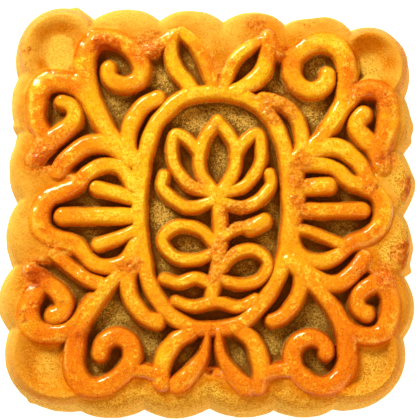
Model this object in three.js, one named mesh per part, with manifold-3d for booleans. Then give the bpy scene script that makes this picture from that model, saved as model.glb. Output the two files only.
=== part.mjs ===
// A square mooncake with a scalloped rim, pressed in a carved wooden mould.
// Millimetres, +Z up, +Y towards the far side, origin in the middle of the underside.
// It is one solid: a fluted block with a sunken top, and on that ground the moulded
// ropes of the ornament, all fused together.
import * as THREE from 'three';
import Module from 'manifold-3d';
import { mergeVertices } from 'three/addons/utils/BufferGeometryUtils.js';

const wasm = await Module();
wasm.setup();

// Driving dimensions of the block.
const lobeReach = 37.0; // from the middle of the cake to the crown of a lobe
const lobeBulge = 1.7; // how far a lobe stands out past its two notches
const rimHeight = 31.3; // crest of the scalloped rim
const groundHeight = 29.5; // sunken ground that the ornament stands on
const lobesPerSide = 4;
const sideSteps = 5; // facets round a lobe of a side
const cornerSteps = 10; // facets round a corner lobe

// Four lobes a side: where the first notch is, and the pitch of the notches.
const sides = {
  right: { first: -21.6, pitch: 11.2 },
  top: { first: -22.4, pitch: 11.6 },
  left: { first: -20.7, pitch: 11.6 },
  bottom: { first: -23.2, pitch: 11.4 },
};

// Corner lobes, and the bowl pressed into each.
const corners = {
  topRight: { x: 28.6, y: 27.2, radius: 8.5, bowl: { x: 27.9, y: 26.6, halfWidth: 4.4, halfHeight: 4.8 } },
  topLeft: { x: -27.3, y: 28.6, radius: 9.1, bowl: { x: -27.6, y: 27.0, halfWidth: 4.6, halfHeight: 4.6 } },
  bottomLeft: { x: -24.8, y: -24.4, radius: 11.0, bowl: { x: -28.0, y: -26.6, halfWidth: 4.8, halfHeight: 4.8 } },
  bottomRight: { x: 24.5, y: -24.6, radius: 10.5, bowl: { x: 27.6, y: -26.6, halfWidth: 5.0, halfHeight: 5.0 } },
};
const bowlDepth = 2.0;

// The block's section, from the edge of the underside up the wall and over the shoulder
// to the rim: how far each level lies inside the outline, and its height.
const blockProfile = [
  { inset: 1.5, z: 0 },
  { inset: 0.5, z: 0.9 },
  { inset: 0.1, z: 4 },
  { inset: 0, z: 14 },
  { inset: 0.3, z: 23 },
  { inset: 0.9, z: 27.2 },
  { inset: 1.6, z: 29.5 },
  { inset: 2.5, z: 30.8 },
  { inset: 3.4, z: rimHeight },
];

// The sunken ground, a rounded square that widens up to the rim.
const groundProfile = [
  { half: 27.3, z: groundHeight },
  { half: 29.4, z: 30.3 },
  { half: 31.8, z: rimHeight + 0.1 },
];
const groundSquareness = 6;
const groundSteps = 48;

// Ropes of the ornament.
const ropeHeight = 2.8; // above the ground
const ropeDepth = 0.8; // how deep a rope is sunk into the ground, so that they fuse
const turnStep = Math.PI / 6.5; // a rope gets a new section after this much turning
const longStep = 8; // or after this length where it runs straight
const crumbStep = 2.4; // and closer together where its crest is crumbled
const ropeFacets = 4; // facets over the round back of a rope
const ropeSquareness = 0.82; // below 1 the back is fuller than a half ellipse
const swell = { share: 0.05, perMm: 0.9 }; // how a rope's width wanders along its length
const walkStep = 0.25; // how finely a curve is walked to place the sections

// A rope's round end: how full its section is, at a share of half its width from the end.
const endSections = [
  { from: 0, full: 0.3, height: 0.48 },
  { from: 0.3, full: 0.72, height: 0.79 },
];

// The moulding came out of the press a little skewed and stretched. Both shifts are
// in mm at this distance from the middle.
const skewSpan = 35;
const skew = {
  x: { all: 1.06, y: 0.64, xy: -0.78, xx: -1.08, yy: -0.11 },
  y: { all: -0.49, x: -0.35, xy: -0.56, xx: -0.14, yy: 0.92 },
};

// One quarter of the ornament, mirrored into all four.
const quarter = [
  { part: 'leaf outer rib', width: 3.2, points: [[4.0, 21.0], [7.5, 24.2], [9.3, 27.3], [8.6, 30.0], [7.9, 31.6]] },
  { part: 'leaf inner rib', width: 3.0, points: [[7.9, 31.6], [5.3, 30.0], [2.6, 27.0], [1.6, 24.3], [1.5, 21.0]] },
  {
    part: 'tall scroll', width: 3.2, points: [
      [15.2, 10.4], [18.4, 14.2], [20.9, 17.6], [22.6, 21.3], [23.6, 25.6], [23.2, 28.5], [21.2, 30.4], [18.8, 31.1],
      [15.8, 30.0], [13.8, 26.6], [13.6, 24.2], [15.2, 21.9], [17.2, 21.4], [19.0, 22.4], [20.0, 24.0], [19.7, 25.4]],
  },
  {
    part: 'side scroll arch', width: 2.9, points: [
      [18.6, 13.2], [21.7, 17.2], [23.7, 20.6], [25.2, 22.4], [27.6, 22.9], [30.4, 21.2], [31.6, 18.3], [31.2, 15.4],
      [30.2, 12.9]],
  },
  {
    part: 'side scroll curl', width: 3.2, points: [
      [27.2, 18.3], [24.9, 17.1], [24.4, 14.8], [26.6, 12.8], [29.6, 11.4], [31.6, 9.4]],
  },
  { part: 'comma', width: 3.2, points: [[14.6, 9.6], [15.0, 12.6], [14.9, 15.9], [13.2, 18.5], [9.8, 20.0]] },
  { part: 'petal', width: 3.6, points: [[15.6, 10.6], [18.2, 11.9], [21.3, 12.4], [24.2, 11.1], [26.0, 8.9], [27.2, 6.2]] },
  {
    part: 'side flower', width: 3.2, points: [
      [13.4, 7.6], [16.6, 8.5], [19.3, 8.7], [21.3, 8.1], [23.2, 6.5], [24.7, 5.0], [27.0, 3.9], [29.5, 2.0], [30.6, 0],
      [30.6, -0.6]],
  },
  { part: 'short stamen', width: 3.1, points: [[21.0, 4.9], [13.2, 2.4]] },
];

// Ropes that aren't mirrored. The oval frame is worked out below.
const longStamens = [
  { part: 'left stamen', width: 3.3, points: [[-27.3, -0.9], [-12.8, -0.9]] },
  { part: 'right stamen', width: 3.3, points: [[27.3, 0.8], [12.8, 0.8]] },
];
const oval = { halfWidth: 12.7, halfHeight: 21.0, exponent: 2.5, points: 28, width: 3.1 };

// A lotus on its stalk fills the oval: three tall petals, two low ones, two leaves,
// a bud and the water below.
const lotus = [
  { part: 'middle petal, left', width: 2.6, points: [[0.1, 3.2], [-2.8, 7.4], [-2.7, 12.2], [0.1, 16.3]] },
  { part: 'middle petal, right', width: 2.6, points: [[0.1, 16.3], [3.2, 12.0], [3.0, 7.2], [0.1, 3.2]] },
  { part: 'left petal', width: 2.5, points: [[-0.6, 3.3], [-5.0, 5.2], [-7.7, 9.2], [-7.4, 13.9], [-4.6, 12.4], [-2.9, 10.0]] },
  { part: 'right petal', width: 2.5, points: [[0.8, 3.3], [5.4, 5.4], [7.9, 9.6], [7.2, 14.3], [4.7, 12.5], [3.2, 9.8]] },
  { part: 'low left petal', width: 2.5, points: [[-0.4, 2.2], [-5.2, 1.2], [-9.6, 4.6], [-9.3, 6.6]] },
  { part: 'low right petal', width: 2.5, points: [[0.6, 2.2], [5.6, 1.4], [9.8, 5.2], [9.4, 7.2]] },
  { part: 'stalk', width: 2.9, points: [[0.1, 3.4], [0.9, -2.6], [0.5, -9.0], [-0.6, -15.8]] },
  {
    part: 'left leaf', width: 2.5, points: [
      [0.6, -6.4], [-2.6, -3.0], [-6.6, -2.2], [-9.2, -4.6], [-7.4, -7.6], [-3.8, -8.2], [0.5, -6.9]],
  },
  {
    part: 'right leaf', width: 2.5, points: [
      [0.2, -11.0], [3.0, -7.4], [6.6, -6.4], [9.3, -8.6], [8.0, -11.6], [4.4, -12.6], [0.2, -11.4]],
  },
  { part: 'bud stalk', width: 2.3, points: [[0.8, -4.4], [3.8, -2.6], [6.4, -2.4]] },
  { part: 'bud', width: 3.3, points: [[6.0, -2.4], [8.6, -1.2]] },
  { part: 'water, left', width: 2.5, points: [[-8.8, -11.6], [-6.2, -12.4], [-3.4, -11.4], [-0.4, -12.6]] },
  { part: 'water, low', width: 2.5, points: [[-6.6, -15.6], [-3.4, -16.6], [0.4, -15.8], [4.4, -16.6], [7.2, -15.2]] },
];

// Dough squeezed out past the mould: a foot under one left lobe and two small spurs.
const squeezedOut = [
  { place: [-36.0, -14.6, 4.2], size: [2.0, 4.3, 2.6] },
  { place: [36.4, -9.8, 16.0], size: [1.1, 0.9, 5.5] },
  { place: [-25.4, 36.4, 21.0], size: [1.2, 0.9, 6.0] },
];

// Crusty spots where the crests are crumbled, and how far the crumbs stand off.
const crumbs = [
  { x: -20, y: 29.6, reach: 5 },
  { x: -29, y: 12, reach: 6 },
  { x: 10, y: 18, reach: 6 },
  { x: 15, y: 6, reach: 5 },
  { x: -30, y: -14, reach: 7 },
  { x: 0, y: 3, reach: 4 },
  { x: 1, y: -9, reach: 5 },
];
const crumbSize = 0.22;
const crumbSink = 0.35; // share of the crumbs' range that lies below the smooth crest

// A small generator of numbers from 0 to 1, so that every build draws the same crumbs.
const generator = { factor: 16807, modulus: 2147483647 };
let seed = 7;
function draw() {
  seed = (seed * generator.factor) % generator.modulus;
  return seed / generator.modulus;
}

function skewed(x, y) {
  const u = x / skewSpan;
  const v = y / skewSpan;
  const dx = skew.x.all + skew.x.y * v + skew.x.xy * u * v + skew.x.xx * u * u + skew.x.yy * v * v;
  const dy = skew.y.all + skew.y.x * u + skew.y.xy * u * v + skew.y.xx * u * u + skew.y.yy * v * v;
  return [x + dx, y + dy];
}

function solidOf(positions, index) {
  const geometry = new THREE.BufferGeometry();
  geometry.setAttribute('position', new THREE.Float32BufferAttribute(positions, 3));
  geometry.setIndex(index);
  return solidOfGeometry(geometry);
}

function solidOfGeometry(geometry) {
  geometry.deleteAttribute('normal');
  geometry.deleteAttribute('uv');
  const merged = mergeVertices(geometry, 1e-5);
  return new wasm.Manifold(new wasm.Mesh({
    numProp: 3,
    vertProperties: new Float32Array(merged.attributes.position.array),
    triVerts: new Uint32Array(merged.index.array),
  }));
}

// The circles that make the scalloped outline, anticlockwise from the lower right.
function outlineCircles() {
  const circles = [];
  const alongSide = (side, place) => {
    const { first, pitch } = sides[side];
    const radius = (pitch * pitch / 4 + lobeBulge * lobeBulge) / (2 * lobeBulge);
    for (let lobe = 0; lobe < lobesPerSide; lobe++) {
      const along = first + pitch * (lobe + 0.5);
      const [x, y] = place(along, lobeReach - radius);
      circles.push({ x, y, radius, steps: sideSteps });
    }
  };
  const reversed = (side, place) => {
    const start = circles.length;
    alongSide(side, place);
    circles.push(...circles.splice(start).reverse());
  };
  const corner = (name) => circles.push({ ...corners[name], steps: cornerSteps });
  alongSide('right', (along, out) => [out, along]);
  corner('topRight');
  reversed('top', (along, out) => [along, out]);
  corner('topLeft');
  reversed('left', (along, out) => [-out, along]);
  corner('bottomLeft');
  alongSide('bottom', (along, out) => [along, -out]);
  corner('bottomRight');
  return circles;
}

// Where two neighbouring circles, both shrunk by the inset, cross on their outer side.
function notchBetween(a, b, inset) {
  const ra = a.radius - inset;
  const rb = b.radius - inset;
  const dx = b.x - a.x;
  const dy = b.y - a.y;
  const apart = Math.hypot(dx, dy);
  const along = (ra * ra - rb * rb + apart * apart) / (2 * apart);
  const across = Math.sqrt(Math.max(ra * ra - along * along, 0.01));
  const ux = dx / apart;
  const uy = dy / apart;
  return [a.x + ux * along + uy * across, a.y + uy * along - ux * across];
}

function ring(circles, inset) {
  const points = [];
  circles.forEach((circle, i) => {
    const before = notchBetween(circles[(i + circles.length - 1) % circles.length], circle, inset);
    const after = notchBetween(circle, circles[(i + 1) % circles.length], inset);
    const from = Math.atan2(before[1] - circle.y, before[0] - circle.x);
    let to = Math.atan2(after[1] - circle.y, after[0] - circle.x);
    if (to < from) to += 2 * Math.PI;
    const radius = circle.radius - inset;
    for (let step = 0; step < circle.steps; step++) {
      if (step === 0) {
        points.push(before);
        continue;
      }
      const angle = from + (to - from) * step / circle.steps;
      points.push([circle.x + radius * Math.cos(angle), circle.y + radius * Math.sin(angle)]);
    }
  });
  return points;
}

// A closed solid through rings of equal length, capped flat at both ends.
function loft(rings) {
  const count = rings[0].length;
  const positions = rings.flat(2);
  const index = [];
  for (let level = 0; level + 1 < rings.length; level++) {
    for (let i = 0; i < count; i++) {
      const a = level * count + i;
      const b = level * count + (i + 1) % count;
      index.push(a, b, b + count, a, b + count, a + count);
    }
  }
  const cap = (level, up) => {
    const outline = rings[level].map(([x, y]) => new THREE.Vector2(x, y));
    for (const [a, b, c] of THREE.ShapeUtils.triangulateShape(outline, [])) {
      const [p, q, r] = [a, b, c].map((i) => level * count + i);
      index.push(...(up ? [p, q, r] : [r, q, p]));
    }
  };
  cap(0, false);
  cap(rings.length - 1, true);
  return solidOf(positions, index);
}

function block() {
  const circles = outlineCircles();
  return loft(blockProfile.map(({ inset, z }) => (
    ring(circles, inset).map(([x, y]) => [...skewed(x, y), z])
  )));
}

function ground() {
  return loft(groundProfile.map(({ half, z }) => (
    superellipse({ halfWidth: half, halfHeight: half, exponent: groundSquareness, points: groundSteps })
      .map(([x, y]) => [...skewed(x, y), z])
  )));
}

const crumbly = (x, y) => crumbs.some((spot) => Math.hypot(x - spot.x, y - spot.y) < spot.reach);

// Extra height of the crumbled crests at a place.
function crumble(x, y, lift) {
  return crumbly(x, y) ? 2 * crumbSize * lift * (draw() - crumbSink) : 0;
}

// Places along a curve, from 0 to 1, closer together where it turns.
function stationsAlong(curve, length, from, to) {
  const walk = Math.ceil(length / walkStep);
  const places = [from];
  let turned = 0;
  let gone = 0;
  for (let i = 1; i < walk; i++) {
    const t = from + (to - from) * i / walk;
    const before = from + (to - from) * (i - 1) / walk;
    turned += curve.getTangentAt(before).angleTo(curve.getTangentAt(t));
    gone += length / walk;
    const here = curve.getPointAt(t);
    if (turned > turnStep || gone > longStep || (crumbly(here.x, here.y) && gone > crumbStep)) {
      places.push(t);
      turned = 0;
      gone = 0;
    }
  }
  if (to < 1) places.push(to);
  return places;
}

// One section of a rope: its round back, from right to left, then its two buried corners.
function section(centre, across, halfWidth, height) {
  const points = [];
  const place = (offset, z) => points.push([centre.x + across.x * offset, centre.y + across.y * offset, z]);
  for (let facet = 0; facet <= ropeFacets; facet++) {
    const angle = Math.PI * facet / ropeFacets;
    const offset = halfWidth * Math.sign(Math.cos(angle)) * Math.abs(Math.cos(angle)) ** ropeSquareness;
    const lift = Math.sin(angle) ** ropeSquareness;
    const crumb = crumble(centre.x, centre.y, lift);
    place(offset, groundHeight + height * lift + crumb);
  }
  place(-halfWidth, groundHeight - ropeDepth);
  place(halfWidth, groundHeight - ropeDepth);
  return points;
}

// A rope along a smooth curve through the points, with round ends unless it is closed.
function rope({ points, width, height = ropeHeight }, mirror = [1, 1], closed = false) {
  const placed = points.map(([x, y]) => skewed(x * mirror[0], y * mirror[1]));
  const corners3 = placed.map(([x, y]) => new THREE.Vector3(x, y, 0));
  const curve = new THREE.CatmullRomCurve3(corners3, closed, 'centripetal');
  const length = curve.getLength();
  const endRound = closed ? 0 : width / 2 / length;
  const stations = stationsAlong(curve, length, endRound, 1 - endRound).map((t) => (
    { t, full: 1 + swell.share * Math.sin(swell.perMm * t * length), height: 1 }
  ));
  if (!closed) {
    for (const end of [...endSections].reverse()) {
      stations.unshift({ ...end, t: end.from * endRound });
      stations.push({ ...end, t: 1 - end.from * endRound });
    }
  }
  const rings = stations.map((station) => {
    const along = curve.getTangentAt(station.t);
    const across = { x: along.y, y: -along.x };
    return section(curve.getPointAt(station.t), across, width / 2 * station.full, height * station.height);
  });
  return closed ? hoop(rings) : bar(rings);
}

// The faces between neighbouring sections, and back to the first one if they are closed.
function bands(rings, closed) {
  const count = rings[0].length;
  const index = [];
  const last = closed ? rings.length : rings.length - 1;
  for (let level = 0; level < last; level++) {
    const here = level * count;
    const next = ((level + 1) % rings.length) * count;
    for (let i = 0; i < count; i++) {
      const j = (i + 1) % count;
      index.push(here + i, here + j, next + j, here + i, next + j, next + i);
    }
  }
  return index;
}

// The solid with its faces pointing out, whichever way its sections ran.
function outward(positions, index) {
  const solid = solidOf(positions, index);
  if (solid.volume() > 0) return solid;
  for (let i = 0; i < index.length; i += 3) [index[i], index[i + 1]] = [index[i + 1], index[i]];
  return solidOf(positions, index);
}

function bar(rings) {
  const count = rings[0].length;
  const index = bands(rings, false);
  const end = (rings.length - 1) * count;
  for (let i = 1; i + 1 < count; i++) {
    index.push(0, i + 1, i);
    index.push(end, end + i, end + i + 1);
  }
  return outward(rings.flat(2), index);
}

function hoop(rings) {
  return outward(rings.flat(2), bands(rings, true));
}

function superellipse({ halfWidth, halfHeight, exponent, points }) {
  return Array.from({ length: points }, (_, i) => {
    const angle = 2 * Math.PI * i / points;
    const power = (value) => Math.sign(value) * Math.abs(value) ** (2 / exponent);
    return [halfWidth * power(Math.cos(angle)), halfHeight * power(Math.sin(angle))];
  });
}

function ornament() {
  const ropes = [rope({ points: superellipse(oval), width: oval.width }, [1, 1], true)];
  for (const mirror of [[1, 1], [-1, 1], [-1, -1], [1, -1]]) {
    ropes.push(...quarter.map((stroke) => rope(stroke, mirror)));
  }
  ropes.push(...longStamens.map((stroke) => rope(stroke)));
  ropes.push(...lotus.map((stroke) => rope(stroke)));
  return ropes;
}

function blob({ place, size }) {
  const geometry = new THREE.SphereGeometry(1, 12, 8);
  geometry.scale(...size);
  geometry.translate(...skewed(place[0], place[1]), place[2]);
  return solidOfGeometry(geometry);
}

let cake = block().subtract(ground());
for (const { bowl } of Object.values(corners)) {
  cake = cake.subtract(blob({
    place: [bowl.x, bowl.y, rimHeight],
    size: [bowl.halfWidth, bowl.halfHeight, bowlDepth],
  }));
}
for (const piece of [...ornament(), ...squeezedOut.map(blob)]) cake = cake.add(piece);

const fused = cake.getMesh();
const geometry = new THREE.BufferGeometry();
geometry.setAttribute('position', new THREE.BufferAttribute(new Float32Array(fused.vertProperties), 3));
geometry.setIndex(new THREE.BufferAttribute(new Uint32Array(fused.triVerts), 1));
geometry.computeVertexNormals();
geometry.computeBoundingBox();

const crust = new THREE.MeshStandardMaterial({ color: 0xdb8a25, roughness: 0.45, metalness: 0 });
const mooncake = new THREE.Mesh(geometry, crust);
mooncake.name = 'mooncake';

// The middle of the underside is the origin.
const middle = geometry.boundingBox.getCenter(new THREE.Vector3());
mooncake.position.set(-middle.x, -middle.y, 0);

const group = new THREE.Group();
group.add(mooncake);

export default group;
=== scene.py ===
import itertools
import math

import bpy
import numpy as np
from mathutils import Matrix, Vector


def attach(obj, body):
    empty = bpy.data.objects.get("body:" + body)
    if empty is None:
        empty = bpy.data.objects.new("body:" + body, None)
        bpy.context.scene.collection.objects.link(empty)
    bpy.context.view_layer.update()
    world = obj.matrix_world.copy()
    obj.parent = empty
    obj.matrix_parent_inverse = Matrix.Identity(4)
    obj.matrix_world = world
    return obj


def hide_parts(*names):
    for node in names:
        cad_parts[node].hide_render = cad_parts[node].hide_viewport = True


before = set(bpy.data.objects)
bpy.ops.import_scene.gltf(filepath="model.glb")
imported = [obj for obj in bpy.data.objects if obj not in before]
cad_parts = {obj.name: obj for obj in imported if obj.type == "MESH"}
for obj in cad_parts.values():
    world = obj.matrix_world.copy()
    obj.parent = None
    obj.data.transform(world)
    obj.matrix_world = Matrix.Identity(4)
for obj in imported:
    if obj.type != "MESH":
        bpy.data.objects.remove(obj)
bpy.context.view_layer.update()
print("frame loaded:", sorted(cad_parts))

mm = 0.001

# The block, in mm: its scalloped plan, and the section of its wall as inset and height.
block = {
    "lobeReach": 37.0,      # from the middle to the crown of a lobe
    "lobeBulge": 1.7,       # how far a lobe stands out past its notches
    "lobesPerSide": 4,
    "sides": {              # the first notch and the pitch of the notches
        "right": (-21.6, 11.2),
        "top": (-22.4, 11.6),
        "left": (-20.7, 11.6),
        "bottom": (-23.2, 11.4),
    },
    "corners": {            # x, y and radius of the corner lobes
        "topRight": (28.5, 26.6, 8.5),
        "topLeft": (-27.8, 27.9, 9.0),
        "bottomLeft": (-24.8, -24.4, 11.3),
        "bottomRight": (24.5, -24.9, 10.8),
    },
    "wall": [
        (1.6, 29.5), (0.9, 27.2), (0.3, 23.0), (0.0, 14.0), (0.1, 4.0), (0.5, 0.9), (0.9, 0.3), (1.5, 0.0),
    ],
    "wallLumpsFade": (0.2, 3),  # heights over which the wall's lumps come in
    "smoothBelowTop": 1.5,  # and how far below the top they end
    "groundHeight": 29.5,
    "centre": (-0.63, 1.15),  # the middle of its box, in this plan
    "spurFade": (31, 34),   # how far from the middle the spurs come in
    "spurSpan": 100,        # well inside the outline they push by a share of the distance over this
    # dough squeezed out or chipped off: x, y, height, reach along the side and up it, and push outwards
    "spurs": [
        (-36.8, -15.8, 20.0, 4.2, 8.0, 0.85),
        (-23.4, 36.6, 25.0, 0.8, 7.0, 0.9),
        (-36.0, 16.0, 26.0, 0.7, 5.0, 0.6),
        (36.6, 13.0, 24.0, 0.7, 6.0, 0.7),
        (36.2, -10.2, 22.0, 0.8, 7.0, 0.7),
        (-32.6, -33.8, 20.0, 0.5, 8.0, 0.35),
        (18.2, 36.4, 26.0, 2.8, 9.0, -0.7),
        (-34.8, 14.4, 22.0, 1.2, 8.0, 0.6),
        (36.5, 5.4, 22.0, 2.6, 9.0, 0.7),
        (35.6, 15.4, 22.0, 1.6, 9.0, 0.5),
        (12.0, -37.0, 18.0, 3.0, 9.0, 0.5),
    ],
}

# The rim, in mm: first its height over the inset, at each kind of side and at the corners.
rim = {
    "top": [(0.9, 27.2), (1.6, 29.4), (2.2, 30.5), (2.9, 31.0), (3.8, 31.3), (4.8, 31.4)],
    "bottom": [(0.9, 27.2), (1.6, 29.3), (2.4, 30.4), (3.4, 30.9), (5.0, 31.3), (7.0, 31.5)],
    "leftAndRight": [(0.9, 27.2), (1.6, 29.4), (2.1, 30.5), (2.8, 31.0), (3.6, 31.2), (4.6, 31.3)],
    "corner": [(0.9, 27.6), (1.4, 29.4), (1.9, 30.6), (2.4, 31.4), (2.8, 31.8)],
    "fillHalf": 31,         # half side of the square that fills what the lobes leave open
    "creaseSoftness": 0.8,  # of the creases between the lobes, and the depths over which they soften
    "creaseFade": (1.0, 3.5),
    "diagonalBlend": 3,     # half width of the change from one side to the next
    "middleBlend": 5,       # and from the bottom's half of a side to the top's
    "cornerSeam": {"atEdge": 0.5, "widening": 1.6, "depths": (1.5, 4.5)},
    # the lip where it falls to the ground, clockwise from the leaves at the top, and how wide the fall is
    "fall": 2.2,
    "fallRidge": 0.85,      # how far up a rope's back the fall looks, from 0 to 1
    "lip": [
        (2.2, 24.8), (3.0, 26.6), (4.6, 28.8), (6.6, 30.4), (8.6, 31.4), (10.2, 32.2), (10.9, 30.6),
        (11.6, 28.8), (12.9, 27.8), (14.4, 28.4), (15.8, 29.4), (17.6, 30.7), (20.2, 31.2),
        (22.8, 30.4), (24.6, 28.8), (25.5, 26.6), (25.7, 24.4), (25.8, 22.6), (26.6, 22.4),
        (28.4, 22.6), (30.4, 22.2), (31.8, 21.0), (32.6, 18.8), (32.6, 16.4), (32.2, 14.0),
        (31.4, 12.0), (31.0, 10.0), (31.6, 8.2), (30.6, 7.0), (29.6, 6.2), (29.4, 5.0), (30.4, 3.8),
        (31.4, 2.2), (31.8, 0.2), (31.4, -2.0), (30.4, -3.8), (28.8, -5.2), (27.2, -6.0), (26.4, -6.6),
        (27.8, -7.4), (28.4, -8.8), (28.2, -10.0), (29.4, -11.0), (31.0, -11.9), (32.1, -13.4),
        (32.6, -15.6), (32.6, -18.0), (32.2, -20.2), (31.0, -22.0), (29.2, -22.9), (27.0, -23.0),
        (25.5, -22.8), (25.6, -24.4), (25.5, -26.8), (24.6, -29.2), (22.8, -30.9), (20.4, -31.7),
        (18.0, -31.4), (16.0, -30.6), (14.6, -29.2), (13.2, -28.8), (11.4, -29.0), (10.2, -30.4),
        (8.6, -31.6), (7.0, -31.8), (5.2, -31.2), (3.6, -30.4), (1.8, -29.2), (0.2, -28.8),
        (-1.4, -29.0), (-3.2, -30.0), (-5.0, -31.0), (-6.8, -31.2), (-8.4, -31.0), (-10.0, -29.6),
        (-12.0, -29.0), (-13.8, -29.0), (-15.2, -29.8), (-17.0, -31.0), (-18.8, -31.8), (-21.2, -32.0),
        (-23.6, -31.0), (-25.0, -29.0), (-25.4, -26.6), (-25.4, -24.4), (-25.4, -22.8), (-27.0, -22.8),
        (-29.4, -22.6), (-31.4, -21.8), (-32.7, -20.2), (-32.9, -18.2), (-32.4, -16.2), (-31.6, -14.4),
        (-31.0, -13.2), (-31.2, -12.0), (-32.4, -10.4), (-31.2, -8.8), (-29.4, -8.2), (-27.4, -7.6),
        (-25.6, -7.4), (-24.5, -7.0), (-25.6, -6.3), (-27.4, -5.6), (-29.4, -4.6), (-30.7, -3.2),
        (-31.1, -1.4), (-30.8, 0.2), (-29.9, 1.8), (-28.3, 3.4), (-26.3, 4.5), (-24.4, 5.2),
        (-24.2, 6.0), (-25.6, 6.3), (-27.4, 6.6), (-28.8, 7.4), (-30.8, 7.7), (-32.3, 8.6),
        (-31.9, 9.8), (-31.1, 11.2), (-30.3, 12.6), (-30.6, 13.8), (-31.4, 15.4), (-31.8, 18.0),
        (-31.6, 20.6), (-30.9, 22.6), (-29.4, 23.9), (-27.2, 24.2), (-25.2, 23.9), (-24.0, 23.6),
        (-23.3, 24.6), (-23.3, 26.4), (-22.9, 28.6), (-22.0, 30.3), (-20.4, 31.3), (-18.4, 31.5),
        (-16.2, 31.2), (-14.4, 30.3), (-13.2, 29.3), (-12.2, 28.8), (-10.2, 29.6), (-8.4, 30.5),
        (-7.0, 31.7), (-5.8, 32.7), (-4.0, 32.2), (-2.2, 31.0), (-0.6, 29.4), (0.7, 27.2), (1.3, 24.6),
    ],
    # the floor of the bowl in each corner lobe: middle, half width, half height, squareness and height
    "bowls": {
        "topLeft": (-26.8, 28.2, 2.1, 3.0, 2.2, 30.2),
        "topRight": (28.4, 25.6, 1.8, 2.4, 3.5, 29.2),
        "bottomLeft": (-28.2, -27.0, 2.1, 2.3, 2.4, 29.9),
        "bottomRight": (28.3, -26.8, 2.4, 2.6, 2.4, 30.1),
    },
    "bowlEdge": 2.7,        # the bowls start this far inside the outline
    "bowlFade": 1.4,        # half width of the fade at the edge of a bowl's floor
    "slopeFade": (0.2, 1.0),  # how far from the floor its slope starts
    "slopeShare": 1.6,
    "lipWidth": 0.25,       # of the painted highlight line along the lip and round the bowls
    "lipShift": 0.1,
    "ringShift": 0.2,
    "bandFade": (1.8, 3.0),  # the depths where the corner's smooth band ends
}

# Where things fade in, or in and out, across the lip: mm from it, with the ground on the minus side.
acrossLip = {
    "rim": (-0.6, 0.3),
    "fallEnd": (-0.6, 0.6),
    "ropesSink": (-2.0, 0.5),
    "ropesEnd": (0.2, 1.6),
    "sand": (0.5, 2.5),
    # painted shade down the ground's side of the lip, added to the browning
    "lipShade": ((-3.4, -2.0), (-1.0, 0.0)),
    "brownOutside": ((-0.2, 0.6), (0.8, 3.4)),
}

# What is stronger at the top than at the bottom: the share below, what is added above, and the two y.
towardsTop = {
    "outerEdge": (0.0, 1.0, -30, -20),
    "brownSlope": (0.45, 0.45, -10, 10),
    # the painted shade inside the lip
    "lipShade": (0.3, 0.3, -27, -20),
    # the painted highlight along the lip and round the bowls
    "lip": (0.2, 0.8, -31, -24),
    "ring": (0.15, 0.25, -10, 10),
    "band": (0.3, 0.7, -10, 10),
    "bowl": (0.4, 0.6, -10, 10),
}

# The moulding came out of the press a little skewed: shifts in mm at this distance from the middle.
skew = {
    "span": 35,
    "x": {"all": 1.06, "y": 0.64, "xy": -0.78, "xx": -1.08, "yy": -0.11},
    "y": {"all": -0.49, "x": -0.35, "xy": -0.56, "xx": -0.14, "yy": 0.92},
}

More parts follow.
